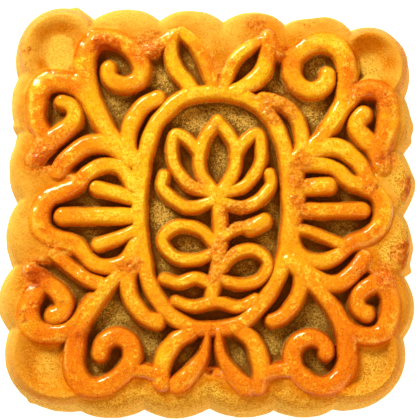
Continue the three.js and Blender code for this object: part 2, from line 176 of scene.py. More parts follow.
# The ropes of the ornament in mm: the widths along a rope, evenly spread, and the line of its crest.
ornament = {
    "height": 2.8,
    "fullness": 3.0,        # 2 is a half ellipse, more is a fuller back
    "flankSlope": 3.6,      # rise over run of the lower flank
    "flankReach": 1.12,     # where the flank meets the ground, in half widths
    "sinkAtRim": 0.1,       # how much lower the ropes are where they join the rim
    "footHeight": 2.1,      # how high up a rope its soft foot starts, and how far each foot spreads
    "feet": {"scroll": 0.5, "arch": 0.7, "curl": 0.7, "petal": 0.5, "link": 0.8, "upper": 0.4, "lower": 0.4,
             "outer": 0.4, "leafOuter": 0.3, "leafInner": 0.3},
    "plainFoot": 0.3,
    "flankSoftness": 0.5,   # of the turn from back to flank, and from flank to foot
    "footSoftness": 0.3,
    "footEnding": 20,       # how sharply a foot is taken as ended, per mm of its height
    "margin": 0.3,          # how far past its foot a rope is worked out
    "leastLift": 0.05,
    "blend": 0.35,          # of the ropes with one another, and how much wider it is on the rim
    "blendOnRim": 0.45,
    "topLeft": {
        "scroll": ((3.3, 3.6, 4.4, 4.7, 4.0, 3.7, 3.4), [
            (-13.2, 8.8), (-14.8, 10.6), (-16.6, 12.2), (-18.0, 14.0), (-19.1, 16.0), (-20.2, 18.0),
            (-21.2, 20.0), (-21.9, 22.2), (-22.3, 24.6), (-22.4, 27.0), (-21.9, 29.1), (-20.5, 30.6),
            (-18.4, 31.0), (-16.2, 30.5), (-14.2, 29.1), (-12.6, 27.2), (-12.0, 25.2), (-12.8, 23.3),
            (-15.0, 22.4), (-17.0, 23.0), (-18.0, 24.3), (-18.0, 25.3),
        ]),
        "arch": ((1.6, 1.8, 4.2, 4.8, 4.6, 3.6), [
            (-18.4, 13.0), (-19.9, 15.3), (-21.2, 17.9), (-22.3, 20.2), (-23.4, 22.0), (-25.0, 23.1),
            (-27.2, 23.5), (-29.4, 22.9), (-30.8, 21.0), (-31.0, 18.4), (-30.7, 15.8), (-29.8, 14.2),
        ]),
        "curl": ((3.2, 3.4, 4.0, 4.5, 4.4), [
            (-26.2, 19.4), (-24.6, 18.6), (-24.0, 16.9), (-24.8, 15.2), (-26.6, 13.7), (-28.6, 12.2),
            (-30.2, 10.6), (-30.9, 9.4),
        ]),
        "petal": ((3.4, 3.8, 3.8, 3.6), [
            (-27.0, 6.8), (-25.8, 8.6), (-24.2, 10.2), (-22.3, 11.5), (-20.2, 12.0), (-18.2, 11.8),
            (-16.0, 10.7), (-14.0, 9.0),
        ]),
        "comma": ((3.4, 3.5), [
            (-13.2, 9.0), (-14.2, 10.6), (-14.4, 12.6), (-14.1, 14.8), (-13.2, 16.9), (-11.6, 18.9),
            (-9.3, 20.0),
        ]),
        "leafOuter": ((2.6, 3.4, 3.2), [
            (-6.2, 31.8), (-6.8, 29.7), (-6.9, 27.9), (-6.4, 26.1), (-5.3, 24.3), (-4.1, 22.9),
            (-3.0, 21.5),
        ]),
        "leafInner": ((2.8, 3.3, 3.0), [
            (-5.0, 32.0), (-3.5, 30.6), (-2.1, 29.0), (-0.9, 27.0), (-0.1, 24.8), (0.5, 22.7),
            (0.8, 21.4),
        ]),
        "link": ((3.4, 3.4, 3.0), [(-12.4, 28.2), (-10.6, 29.0), (-8.4, 30.2), (-7.0, 31.4)]),
    },
    "topRight": {
        "scroll": ((3.0, 3.3, 3.9, 4.4, 4.0, 3.9, 3.5), [
            (14.0, 8.2), (15.6, 9.4), (17.4, 11.0), (19.1, 12.4), (20.5, 14.0), (21.9, 16.0),
            (23.1, 18.0), (24.0, 20.2), (24.4, 22.6), (24.4, 25.2), (23.9, 27.6), (22.4, 29.5),
            (20.0, 30.3), (17.4, 29.6), (15.3, 27.7), (14.6, 25.2), (15.4, 22.8), (17.4, 21.5),
            (19.4, 21.8), (20.8, 23.2), (20.9, 24.3),
        ]),
        "arch": ((1.6, 1.8, 4.0, 4.4, 4.4, 4.0), [
            (21.6, 14.2), (23.6, 17.0), (24.9, 19.0), (26.4, 21.2), (28.6, 21.8), (30.8, 20.9),
            (31.8, 18.6), (31.7, 15.8), (31.1, 13.4), (30.4, 11.4),
        ]),
        "curl": ((3.6, 3.8, 4.0, 4.0), [
            (27.2, 17.2), (26.2, 16.0), (26.2, 14.4), (27.6, 12.8), (29.2, 11.4), (29.9, 9.6),
            (30.4, 8.0),
        ]),
        "petal": ((3.6, 3.8, 3.6, 3.2), [
            (14.8, 9.0), (17.0, 10.2), (18.8, 11.0), (20.8, 11.4), (23.0, 11.2), (25.2, 9.7),
            (26.9, 7.8), (27.9, 5.8), (28.6, 4.6),
        ]),
        "comma": ((3.2, 3.2), [
            (9.4, 19.9), (12.0, 19.2), (14.3, 17.8), (15.7, 15.7), (16.3, 13.3), (16.2, 11.0),
            (15.0, 9.0),
        ]),
        "leafInner": ((3.0, 2.8), [
            (2.4, 21.6), (2.8, 23.0), (3.3, 25.0), (4.4, 27.0), (5.9, 28.5), (7.7, 29.6), (9.1, 30.4),
        ]),
        "leafOuter": ((3.4, 3.7, 3.3), [
            (10.3, 31.2), (10.4, 29.0), (10.1, 26.9), (9.3, 24.9), (7.8, 23.1), (5.9, 22.0),
            (4.4, 21.4),
        ]),
        "link": ((3.2, 3.2), [(10.8, 31.0), (12.4, 29.8), (14.2, 28.4)]),
    },
    "bottomLeft": {
        "scroll": ((3.0, 3.2, 3.8, 4.4, 4.2, 3.9, 3.5), [
            (-13.2, -8.8), (-15.6, -10.8), (-17.3, -12.5), (-18.7, -14.2), (-20.0, -16.0),
            (-21.4, -18.0), (-22.6, -20.0), (-23.4, -22.2), (-23.7, -24.6), (-23.8, -27.0),
            (-23.3, -29.3), (-21.6, -31.0), (-19.2, -31.2), (-16.8, -30.0), (-14.8, -28.2),
            (-13.6, -25.8), (-13.9, -23.6), (-15.2, -22.4), (-17.0, -22.2), (-18.7, -23.4),
            (-19.2, -25.1),
        ]),
        "arch": ((1.6, 2.0, 3.8, 4.4, 4.8, 4.4), [
            (-20.8, -15.2), (-22.8, -18.0), (-24.6, -20.6), (-26.6, -21.6), (-29.2, -21.7),
            (-31.2, -20.6), (-32.0, -18.6), (-31.9, -16.4), (-31.0, -14.4),
        ]),
        "curl": ((3.4, 3.6, 4.0, 3.8), [
            (-31.6, -10.6), (-30.0, -11.8), (-28.3, -13.0), (-26.6, -14.4), (-25.6, -16.2),
            (-26.0, -17.9), (-27.4, -18.4),
        ]),
        "petal": ((2.8, 3.2), [
            (-27.6, -7.6), (-25.6, -9.2), (-23.6, -10.7), (-21.6, -12.0), (-19.2, -12.9),
        ]),
        "comma": ((3.5, 3.4), [
            (-12.9, -9.4), (-14.1, -10.8), (-14.5, -12.5), (-14.0, -15.0), (-12.7, -17.2),
            (-10.9, -19.0), (-9.3, -19.6),
        ]),
        "leafOuter": ((3.3, 3.7, 3.7), [
            (-3.4, -21.4), (-5.4, -22.5), (-6.9, -24.0), (-8.0, -26.0), (-8.5, -28.2), (-8.4, -30.2),
        ]),
        "leafInner": ((2.0, 2.6, 3.4, 4.4), [
            (-0.4, -21.4), (-0.6, -23.2), (-1.1, -25.2), (-2.1, -27.0), (-3.6, -28.8), (-5.4, -30.6),
        ]),
        "link": ((3.0, 3.0), [(-8.8, -28.9), (-11.4, -28.2), (-14.0, -28.0)]),
    },
    "bottomRight": {
        "scroll": ((3.0, 3.3, 3.9, 4.3, 4.0, 3.7, 3.4), [
            (13.8, -8.8), (16.2, -11.0), (18.2, -13.2), (19.6, -14.6), (20.8, -16.1), (22.2, -18.0),
            (23.2, -20.0), (23.9, -22.2), (24.1, -24.6), (24.0, -27.0), (23.0, -29.2), (21.0, -30.7),
            (18.6, -30.8), (16.4, -29.6), (14.8, -27.6), (14.4, -25.2), (15.4, -23.2), (17.4, -22.3),
            (19.2, -22.8), (20.2, -24.0), (20.3, -25.0),
        ]),
        "arch": ((1.6, 1.8, 3.6, 4.2, 4.2, 3.8), [
            (20.4, -14.6), (22.2, -17.0), (23.8, -19.6), (25.4, -21.5), (27.8, -22.2), (30.2, -21.5),
            (31.4, -19.6), (31.9, -17.2), (31.6, -15.0), (30.4, -13.4),
        ]),
        "curl": ((3.5, 3.4, 3.6, 4.2), [
            (27.4, -18.1), (26.2, -17.2), (25.9, -15.5), (26.9, -14.0), (28.8, -12.9), (30.6, -12.4),
        ]),
        "petal": ((3.6, 3.6), [
            (14.4, -9.0), (16.6, -10.6), (18.5, -11.9), (20.6, -12.8), (22.9, -12.6), (24.8, -11.3),
            (26.2, -9.8), (27.1, -8.5),
        ]),
        "comma": ((3.2, 3.2), [
            (14.2, -9.4), (15.8, -11.0), (16.1, -12.8), (15.6, -14.9), (14.3, -17.0), (12.6, -18.7),
            (10.9, -19.4),
        ]),
        "leafInner": ((2.0, 2.6, 3.2, 4.2), [
            (1.5, -21.2), (1.6, -23.0), (1.9, -25.0), (2.8, -27.2), (4.4, -29.2), (6.2, -31.0),
        ]),
        "leafOuter": ((3.4, 3.8, 3.6), [
            (5.0, -20.9), (7.0, -22.4), (8.2, -24.4), (8.9, -26.8), (9.0, -29.0), (8.6, -31.0),
        ]),
        "link": ((3.2, 3.2), [(9.2, -28.8), (11.8, -28.0), (14.6, -28.0)]),
    },
    "leftFlower": {
        "upper": ((4.4, 3.9, 3.3, 3.2, 3.2), [
            (-30.3, -1.2), (-29.8, 0.8), (-28.4, 2.5), (-26.0, 3.5), (-23.6, 4.7), (-21.9, 6.5),
            (-20.1, 7.7), (-18.0, 8.2), (-16.1, 7.7), (-14.5, 6.2), (-13.4, 4.2),
        ]),
        "lower": ((4.4, 3.9, 3.3, 3.2, 3.2), [
            (-30.3, -1.2), (-29.9, -3.0), (-28.4, -4.5), (-25.8, -5.3), (-23.7, -6.0), (-22.5, -7.2),
            (-21.4, -8.6), (-19.9, -9.6), (-17.9, -9.9), (-15.8, -9.4), (-14.1, -8.0), (-13.2, -6.0),
        ]),
        "stamenHigh": ((3.1, 3.0), [(-20.1, 4.1), (-17.4, 3.4), (-13.8, 2.2)]),
        "stamenMiddle": ((3.8, 3.4), [(-26.0, -0.9), (-13.6, -0.9)]),
        "stamenLow": ((3.1, 2.9), [(-19.6, -5.9), (-17.4, -5.3), (-15.2, -4.4), (-13.0, -3.5)]),
        "junction": ((2.4, 2.0, 1.4), [(-13.4, 8.8), (-13.0, 6.0), (-12.6, 2.0)]),
    },
    "rightFlower": {
        "outer": ((3.2, 3.2, 3.4, 3.9, 3.4, 3.2, 3.2), [
            (14.8, 7.6), (17.0, 8.3), (19.3, 8.3), (21.5, 7.8), (23.1, 6.7), (24.6, 5.2), (27.0, 4.3),
            (29.2, 3.1), (30.5, 1.3), (30.6, -0.9), (29.8, -3.0), (27.8, -4.6), (25.4, -5.5),
            (24.2, -6.3), (22.9, -7.5), (20.8, -8.7), (18.4, -8.9), (16.2, -8.1), (15.0, -6.4),
            (14.4, -4.4),
        ]),
        "junction": ((3.0, 3.4, 2.6), [(15.3, 9.4), (15.4, 5.0), (15.3, 0.0), (14.9, -4.2)]),
        "stamenHigh": ((3.4, 3.6), [(15.0, 4.0), (18.6, 4.3), (21.0, 4.5)]),
        "stamenMiddle": ((3.3, 3.3), [(15.6, 0.1), (27.0, 0.1)]),
        "stamenLow": ((2.6, 2.6), [(15.4, -3.0), (18.5, -4.0), (21.0, -5.0), (23.4, -6.0)]),
    },
    "oval": (3.3, [
        (-12.5, 0), (-12.3, -4), (-11.7, -8), (-10.9, -12), (-9.6, -14.9), (-7.9, -17.4), (-5.7, -19.3),
        (-3, -20.5), (0, -20.9), (3, -20.6), (5.8, -19.5), (8, -17.7), (10, -15.2), (11.7, -12.3),
        (12.8, -9.5), (13.5, -6), (14.1, -1), (13.9, 5), (13.6, 9), (13, 12), (12, 14.6), (10.5, 17),
        (8.5, 19), (6, 20.3), (3, 21), (0, 21.1), (-4.5, 20.3), (-6.6, 19), (-8.5, 17), (-10, 14.7),
        (-11.1, 11.5), (-12.0, 7),
    ]),
    "lotus": [
        (2.8, [(0.1, 3.2), (-2.8, 7.4), (-2.7, 12.2), (0.1, 16.3)]),
        (2.8, [(0.1, 16.3), (3.2, 12.0), (3.0, 7.2), (0.1, 3.2)]),
        (2.7, [(-0.6, 3.3), (-5.0, 5.2), (-7.7, 9.2), (-7.4, 13.9), (-4.6, 12.4), (-2.9, 10.0)]),
        (2.7, [(0.8, 3.3), (5.4, 5.4), (7.9, 9.6), (7.2, 14.3), (4.7, 12.5), (3.2, 9.8)]),
        (2.7, [(-0.4, 2.2), (-5.2, 1.2), (-9.6, 4.6), (-9.3, 6.6)]),
        (2.7, [(0.6, 2.2), (5.6, 1.4), (9.8, 5.2), (9.4, 7.2)]),
        (3.1, [(0.1, 3.4), (0.9, -2.6), (0.5, -9.0), (-0.6, -15.8)]),
        (2.7, [
            (0.6, -6.4), (-2.6, -3.0), (-6.6, -2.2), (-9.2, -4.6), (-7.4, -7.6), (-3.8, -8.2), (0.5, -6.9),
        ]),
        (2.7, [
            (0.2, -11.0), (3.0, -7.4), (6.6, -6.4), (9.3, -8.6), (8.0, -11.6), (4.4, -12.6), (0.2, -11.4),
        ]),
        (2.5, [(0.8, -4.4), (3.8, -2.6), (6.4, -2.4)]),
        (3.4, [(6.0, -2.4), (8.6, -1.2)]),
        (2.7, [(-8.8, -11.6), (-6.2, -12.4), (-3.4, -11.4), (-0.4, -12.6)]),
        (2.7, [(-6.6, -15.6), (-3.4, -16.6), (0.4, -15.8), (4.4, -16.6), (7.2, -15.2)]),
    ],
}

# The unevenness of the crust: amount and scale in mm, seed and number of layers.
unevenness = {
    "lumps": (0.12, 4.0, 3, 3),
    "dimples": (0.06, 1.3, 11, 3),
    "wall": (0.22, 6.0, 17, 3),
    "ropeEdge": (0.12, 2.2, 50, 1),
    "ropeSwelling": (0.05, 4.0, 90, 1),     # a share of the rope's height
    "crumbs": (1.0, 0.95, 7, 2),
    "crumbEdge": (0.9, 1.8, 31, 1),
    "bowlEdge": (0.5, 1.6, 61, 3),
    "browningAndShade": (0.7, 2.2, 23, 3),
}

# Damage to the crust, in mm: the crumbled places as x, y, reach and strength.
surface = {
    "crumbDepth": 0.26,
    "crumbSink": 0.15,      # how far crumbled places lie lower on the whole, as a share of the noise
    "crumbHeights": (29.0, 30.5),
    "dimpledRidge": (0.2, 0.6),
    "crumbs": [
        (-10.6, 29.4, 3.4, 0.8), (-29.6, 9.8, 3.4, 0.9), (-27.6, 12.6, 1.6, 0.5),
        (12.4, 18.6, 4.4, 0.9), (8.8, 21.0, 2.0, 0.6), (16.2, 8.6, 2.6, 0.8), (16.0, 4.8, 2.2, 0.9),
        (15.8, 1.6, 1.8, 0.9), (16.2, -1.6, 1.8, 0.8), (28.6, 4.7, 1.5, 1.0), (30.8, 9.0, 2.6, 0.8),
        (-30.6, -11.2, 3.0, 1.0), (-27.6, -7.0, 2.0, 0.6), (-13.4, -9.4, 1.8, 0.8),
        (30.8, -11.4, 2.8, 0.9), (27.0, -10.6, 1.8, 0.7), (0.6, 15.0, 1.8, 0.5),
        (4.6, -1.0, 4.2, 0.9), (2.6, -7.0, 3.0, 0.9), (1.2, -11.2, 2.4, 0.8), (-3.0, 4.0, 2.6, 0.7),
        (8.4, 33.9, 2.4, 0.7), (35.0, 4.0, 2.4, 1.0), (34.0, -7.4, 2.8, 1.0), (-22.0, -22.0, 2.4, 0.4),
        (-19.2, 29.9, 2.4, 0.9), (-31.0, -17.0, 1.8, 0.5), (31.0, 19.6, 2.2, 0.6), (25.6, 20.4, 1.6, 0.6),
    ],
    "dents": [              # x, y, reach and depth
        (12.3, -31.4, 1.1, 0.6), (-12.1, -31.1, 1.0, 0.7), (0.2, -28.4, 0.6, 1.2), (-24.6, -5.9, 0.9, 0.4),
        (-23.4, -10.6, 0.8, 0.4), (25.2, 29.6, 0.9, 0.4),
    ],
}

# How much browner the crust is along its edges, on top of the spots below.
edgeBrowning = {"outerDepths": (0.6, 2.0), "outerEdge": 0.25, "outside": 0.35, "patches": 0.8}

# Where the egg wash browned more or less, as x, y, reach and how much; the strong spot at (27.8, 29.6) is
# painted shade on the steep top slope of the top right bowl.
browningAndShadeSpots = [
    (19.1, 17.6, 2.6, -0.6), (-17.6, -19.4, 2.6, -0.7), (19, 13.6, 2, 0.4), (14.6, 23, 3, 0.3),
    (-22, 12, 3, 0.3), (-17, -22, 3, 0.4), (17.4, -22, 3, 0.4), (22, -17.6, 3, 0.3), (22, 0, 5, 0.35),
    (24, -12, 3, 0.3), (26, 22, 3, 0.3), (-24.4, 22, 3, 0.3), (-23, -19, 3, 0.3), (24, -22, 4, 0.3),
    (-31, 18, 3, 0.2), (36, 0, 7, -0.6), (36, 12, 6, -0.3), (28.5, -27, 5, 0.35), (-28, -27, 4.5, 0.35),
    (24, 4, 4, 0.2), (8.9, -26, 3, -0.35), (0, 0, 60, 0.28), (-22, 11.5, 4, 0.25), (-31, 18, 4, 0.25),
    (19, 22, 4, 0.15), (19, 12.5, 4, 0.15), (-12.4, -6, 4, -0.3), (-12, 3, 5, -0.2),
    (-21.8, -11.6, 3, 0.4), (22, 14, 3, 0.3), (-25, 22, 3, 0.3), (-9.4, -26, 3, -0.2),
    (-6.4, 25, 3, -0.6), (8.6, 25, 3.4, -0.6), (5, 27.5, 3, -0.3), (-7, -26, 3.4, -0.4),
    (7.8, -25, 3, -0.2), (36, 18, 5, -0.35), (36, -17, 7, -0.35), (32, 5.6, 3, -0.3), (32, -7, 3, -0.3),
    (-14, 21, 6, 0.3), (-16, 20, 4, 0.25), (-24, 30, 16, -0.2), (0, 30, 12, -0.15), (20, -22, 24, 0.3),
    (22, -28, 12, 0.15), (-20, -26, 14, 0.3), (34, 0, 10, 0.2), (0, -34, 18, 0.4),
    # (27.8, 29.6) is painted shade on the top slope of the top right bowl
    (27.8, 29.6, 2.2, 1.8), (20, 29.4, 4, -0.6), (28.6, 20.6, 2.6, 0.9), (-27, 22.4, 3.5, 0.3),
    (33, 20, 4, 0.3), (-24.5, 3.4, 3, 0.3), (-28, 2, 3, 0.3), (-19.5, 10.6, 3, 0.3),
    (-23.2, -23.5, 3, 0.4), (23.4, -24, 3, 0.4), (-20, -34, 18, 0.3), (24, -34, 18, 0.3),
    (-29, 10, 5, 0.9), (-26, 13.4, 3, 0.6), (30, 10, 5, 0.7), (-30, -13, 6, 0.7), (30, -12, 6, 0.6),
    (24, 10, 7, -0.35), (13, 29, 4, 0.7), (-11, 29, 4, 0.8), (14, 34, 10, 0.2), (-18.6, 29.6, 3.5, 0.8),
    (-24, 3, 4, 0.5), (-29, -1, 4, 0.4), (-23, -1.5, 4, 0.4), (27, 0, 4, 0.4), (16, 2, 4, 0.3),
    (-14, -9, 4, 0.5), (1.6, 27, 3, 0.9), (0, -22, 4, 0.5), (22, -30.5, 5, 0.3),
    (-30, 32.4, 2.4, 0.3), (-22, 6, 12, -0.15), (8, -22, 10, 0.15), (-15, 22, 3, 0.3),
    (-15, -22, 3, 0.5), (31, -10, 5, 0.4), (30, 16, 5, 0.3), (20, 34, 5, 0.4), (8, 33, 4, 0.4),
    (-4, 33, 4, 0.2), (-33, 29, 5, 0.2), (33, 27, 4, 0.3), (-31, -33, 6, 0.3), (30, -30, 6, 0.2),
]

# Where flakes are scorched.
scorchedSpots = [
    (35.4, 5.6, 1.2, 0.7), (35.2, 3.6, 1.3, 0.7), (35.0, 1.6, 1.1, 0.5), (34.4, -3.6, 1.2, 0.5),
    (34.6, -6.0, 1.3, 0.6), (34.5, -8.4, 1.4, 0.6), (34.4, -10.4, 1.2, 0.5), (35.6, 13.6, 1.2, 0.8),
    (-32.2, 28.6, 1.8, 0.5), (-31.0, 25.6, 1.6, 0.3), (34.6, 32.0, 1.2, 0.6), (35.9, 28.6, 1.2, 0.7),
    (-19.6, 29.2, 2.2, 0.8), (-16.6, 29.4, 1.6, 0.5), (-30.0, 9.6, 2.2, 0.6), (-30.2, -11.8, 2.4, 0.9),
    (-32.4, -18.6, 1.6, 0.6), (-26.0, -16.7, 1.6, 0.5), (-23.2, -21.8, 2.2, 0.6),
    (-16.2, -21.6, 2.0, 0.4), (-15.4, -9.6, 1.8, 0.6), (13.0, 29.4, 1.6, 0.5), (-11.0, 29.0, 1.8, 0.5),
    (15.6, 8.4, 2.2, 0.6), (15.6, 4.4, 1.4, 0.5), (15.6, 1.2, 1.4, 0.5), (15.4, -2.0, 1.4, 0.5),
    (30.6, 9.6, 2.2, 0.5), (31.6, 17.0, 2.4, 0.4), (28.6, 20.4, 1.8, 0.6), (26.0, 22.6, 1.4, 0.5),
    (8.6, 33.6, 2.4, 0.4), (18.0, 34.6, 2.6, 0.4), (30.2, -11.2, 2.4, 0.5), (0.0, -21.4, 1.6, 0.5),
    (9.6, 19.6, 2.0, 0.4), (12.6, 17.6, 2.0, 0.5), (2.6, 27.0, 1.4, 0.4), (-30.4, -1.0, 1.8, 0.3),
]

# Where the rim is dry and sandy.
sandySpots = [
    (36, 0, 10, 0.6), (31, 6, 3.5, 0.7), (31, -7, 3.5, 0.8), (34, 18, 6, 0.3), (0, -36, 16, 0.6),
    (-20, -34, 12, 0.45), (22, -34, 12, 0.5), (-27.8, -26.6, 3.2, 0.4), (28.5, -27, 4.5, 0.35),
    (28.3, 25.7, 3.2, 0.6), (-26, -9, 4, 0.5), (-22.6, -13, 3, 0.7), (0.4, -30, 3, 0.5),
    (1.8, 29, 2, 0.4), (-34, -16, 6, 0.3),
]

# The marks of the wall and the underside, from 0 to 1.
wallMarks = {
    "elsewhere": {"rim": 1.0, "hollowShade": 0.5, "brownAndShade": 0.45, "sandy": 0.3},
    "brownFoot": 0.8,
    "palerTop": 0.72,
    "palerHeights": (15, 26),
    "bottomSide": (24, 33),     # how far down the plan the bottom's side starts, which stays brown
    "sand": 0.3,
    "sandAtBottom": 0.5,        # added there
    "underHeights": (0.0, 1.2),
}

# How finely the mesh is made before it is thinned, in mm, and how many triangles stay.
meshing = {
    "innerHalf": 28.4,
    "innerStep": 0.15,
    "rings": 50,
    "wallStep": 0.8,
    "undersideRings": (0.985, 0.95, 0.85, 0.7, 0.5, 0.3, 0.12),
    "triangles": 190000,
    "flatBelow": -0.98,     # faces that look further down than this are shaded flat
}

# Hollows, where shade is painted, are found against the heights on a coarse grid, blurred: all in mm.
hollowGrid = {"step": 0.25, "half": 39.0, "blur": 1.0, "fullDepth": 2}


def skewed(plan):
    u = plan[:, 0] / skew["span"]
    v = plan[:, 1] / skew["span"]
    sx, sy = skew["x"], skew["y"]
    dx = sx["all"] + sx["y"] * v + sx["xy"] * u * v + sx["xx"] * u * u + sx["yy"] * v * v
    dy = sy["all"] + sy["x"] * u + sy["xy"] * u * v + sy["xx"] * u * u + sy["yy"] * v * v
    return plan + np.stack([dx, dy], 1)


def latticeNoise(points, scale, seed):
    # smooth noise from -1 to 1 on a lattice of this scale, the same in every run
    spots = np.asarray(points, float) / scale
    cell = np.floor(spots).astype(np.int64)
    part = spots - cell
    ease = part * part * part * (part * (part * 6 - 15) + 10)
    total = np.zeros(len(spots))
    for corner in itertools.product((0, 1), repeat=spots.shape[1]):
        mixed = np.full(len(spots), seed * 7919 + 1, np.uint64)
        weight = np.ones(len(spots))
        for axis, step in enumerate(corner):
            mixed = (mixed ^ (cell[:, axis] + step).astype(np.uint64)) * np.uint64(0x9E3779B97F4A7C15)
            mixed ^= mixed >> np.uint64(29)
            weight *= ease[:, axis] if step else 1 - ease[:, axis]
        total += weight * ((mixed >> np.uint64(40)).astype(float) / 2 ** 23 - 1)
    return total


def layered(points, scale, seed, layers):
    # the same noise at several scales, each finer and weaker
    return sum(latticeNoise(points, scale / 2 ** k, seed + k) / 2 ** k for k in range(layers))


def uneven(points, name, turn=0):
    amount, scale, seed, layers = unevenness[name]
    return amount * layered(points, scale, seed + turn, layers)


def ramp(values, low, high):
    share = np.clip((values - low) / (high - low), 0, 1)
    return share * share * (3 - 2 * share)


def strip(values, rising, falling):
    # 1 in a strip that fades in over one range and out over the other
    return ramp(values, *rising) * (1 - ramp(values, *falling))


def growing(placed, name):
    below, added, low, high = towardsTop[name]
    return below + added * ramp(placed[:, 1], low, high)


def smoothMax(a, b, radius):
    near = np.clip(radius - np.abs(a - b), 0, None) / radius
    return np.maximum(a, b) + near * near * radius / 4


def smoothMin(a, b, radius):
    return -smoothMax(-a, -b, radius)


def outlineCircles():
    circles = []
    reach, bulge = block["lobeReach"], block["lobeBulge"]
    place = {
        "right": lambda along, out: (out, along),
        "top": lambda along, out: (along, out),
        "left": lambda along, out: (-out, along),
        "bottom": lambda along, out: (along, -out),
    }
    for side, (first, pitch) in block["sides"].items():
        radius = (pitch * pitch / 4 + bulge * bulge) / (2 * bulge)
        for lobe in range(block["lobesPerSide"]):
            circles.append((*place[side](first + pitch * (lobe + 0.5), reach - radius), radius))
    return np.array(circles), np.array(list(block["corners"].values()))


sideCircles, cornerCircles = outlineCircles()
allCircles = np.concatenate([sideCircles, cornerCircles])


def depthInside(plan, circles):
    depth = np.full(len(plan), -np.inf)
    for x, y, radius in circles:
        depth = np.maximum(depth, radius - np.hypot(plan[:, 0] - x, plan[:, 1] - y))
    return depth


def outlineReach(angles, inset):
    # how far the outline, drawn in by the inset, lies from the middle in each direction
    ways = np.stack([np.cos(angles), np.sin(angles)], 1)
    reach = np.zeros(len(ways))
    for x, y, radius in allCircles:
        forward = ways @ (x, y)
        under = (radius - inset) ** 2 - (x * x + y * y - forward ** 2)
        reach = np.maximum(reach, np.where(under > 0, forward + np.sqrt(np.clip(under, 0, None)), 0))
    return reach


def smoothLine(points, step=0.5, closed=False):
    # a centripetal Catmull-Rom line through the points
    points = np.array(points, float)
    if len(points) == 2:
        count = max(2, int(np.hypot(*(points[1] - points[0])) / step))
        return points[0] + np.linspace(0, 1, count)[:, None] * (points[1] - points[0])
    if closed:
        path = np.concatenate([points[-1:], points, points[:2]])
    else:
        path = np.concatenate([2 * points[:1] - points[1:2], points, 2 * points[-1:] - points[-2:-1]])
    line = []
    for a, b, c, d in zip(path, path[1:], path[2:], path[3:]):
        t1, t2, t3 = np.cumsum([max(np.hypot(*(q - p)), 1e-6) ** 0.5 for p, q in ((a, b), (b, c), (c, d))])
        for t in np.linspace(t1, t2, max(2, int(np.hypot(*(c - b)) / step)), endpoint=False):
            p = a + (b - a) * t / t1
            q = b + (c - b) * (t - t1) / (t2 - t1)
            r = c + (d - c) * (t - t2) / (t3 - t2)
            pq = p + (q - p) * t / t2
            qr = q + (r - q) * (t - t1) / (t3 - t1)
            line.append(pq + (qr - pq) * (t - t1) / (t2 - t1))
    line.append(path[-2])
    return np.array(line)


def nearest(points, line):
    # distance to the line, and the length along it where it is nearest
    best = np.full(len(points), np.inf)
    along = np.zeros(len(points))
    gone = 0.0
    for start, end in zip(line, line[1:]):
        step = end - start
        length = math.hypot(*step)
        share = np.clip((points - start) @ step / length ** 2, 0, 1)
        gap = ((points - start - share[:, None] * step) ** 2).sum(1)
        closer = gap < best
        best = np.where(closer, gap, best)
        along = np.where(closer, gone + share * length, along)
        gone += length
    return np.sqrt(best), along


def ropeLines():
    # widths, spread of the foot and middle line of each rope
    plain = ornament["plainFoot"]
    width, points = ornament["oval"]
    lines = [((width, width), plain, smoothLine(points, closed=True))]
    for group in ("topLeft", "topRight", "bottomLeft", "bottomRight", "leftFlower", "rightFlower"):
        for name, (widths, points) in ornament[group].items():
            lines.append((widths, ornament["feet"].get(name, plain), smoothLine(points)))
    for width, points in ornament["lotus"]:
        lines.append(((width, width), plain, smoothLine(skewed(np.array(points, float)))))
    return lines


def ropeRise(distance, halfWidth, foot):
    # height of a rope's back over the ground, from its middle line outwards
    u = distance / halfWidth
    full = ornament["fullness"]
    dome = ornament["height"] * np.clip(1 - np.clip(u, 0, 1) ** full, 0, 1) ** (1 / full)
    flank = (ornament["flankReach"] - u) * halfWidth * ornament["flankSlope"]
    back = smoothMin(np.where(u < 1, dome, 0), flank, ornament["flankSoftness"])
    skirt = ornament["footHeight"] * (1 - ramp(distance, halfWidth * 0.5, halfWidth + foot))
    # where back and skirt both end, smoothMax leaves a quarter of the softness, which is taken off
    softness = ornament["footSoftness"]
    skirtGone = np.exp(-skirt * ornament["footEnding"])
    return smoothMax(back, skirt, softness) - softness * skirtGone / 4 * (back < softness)


def near(plan, line, reach):
    # which points lie this near to a line, how near, and how far along it
    inside = np.flatnonzero(((plan > line.min(0) - reach) & (plan < line.max(0) + reach)).all(1))
    distance, along = nearest(plan[inside], line)
    close = distance < reach
    return inside[close], distance[close], along[close]


def softDepth(plan, circles):
    # like depthInside, but the creases between the lobes fade inwards
    softness = rim["creaseSoftness"]
    total = sum(np.exp((radius - np.hypot(plan[:, 0] - x, plan[:, 1] - y)) / softness)
                for x, y, radius in circles)
    soft = softness * np.log(total)
    hard = depthInside(plan, circles)
    share = ramp(hard, *rim["creaseFade"])
    return hard * (1 - share) + soft * share


def outsideLip(placed):
    # distance to the lip, positive on the rim's side and negative on the ground's
    lip = smoothLine(rim["lip"], 1.0, closed=True)
    distance, _ = nearest(placed, lip)
    x, y = placed.T
    inside = np.zeros(len(placed), bool)
    for (ax, ay), (bx, by) in zip(lip, np.roll(lip, -1, 0)):
        crosses = (ay > y) != (by > y)
        if crosses.any():
            inside ^= crosses & (x < ax + (y - ay) * (bx - ax) / (by - ay if by != ay else 1e-9))
    return np.where(inside, -distance, distance)


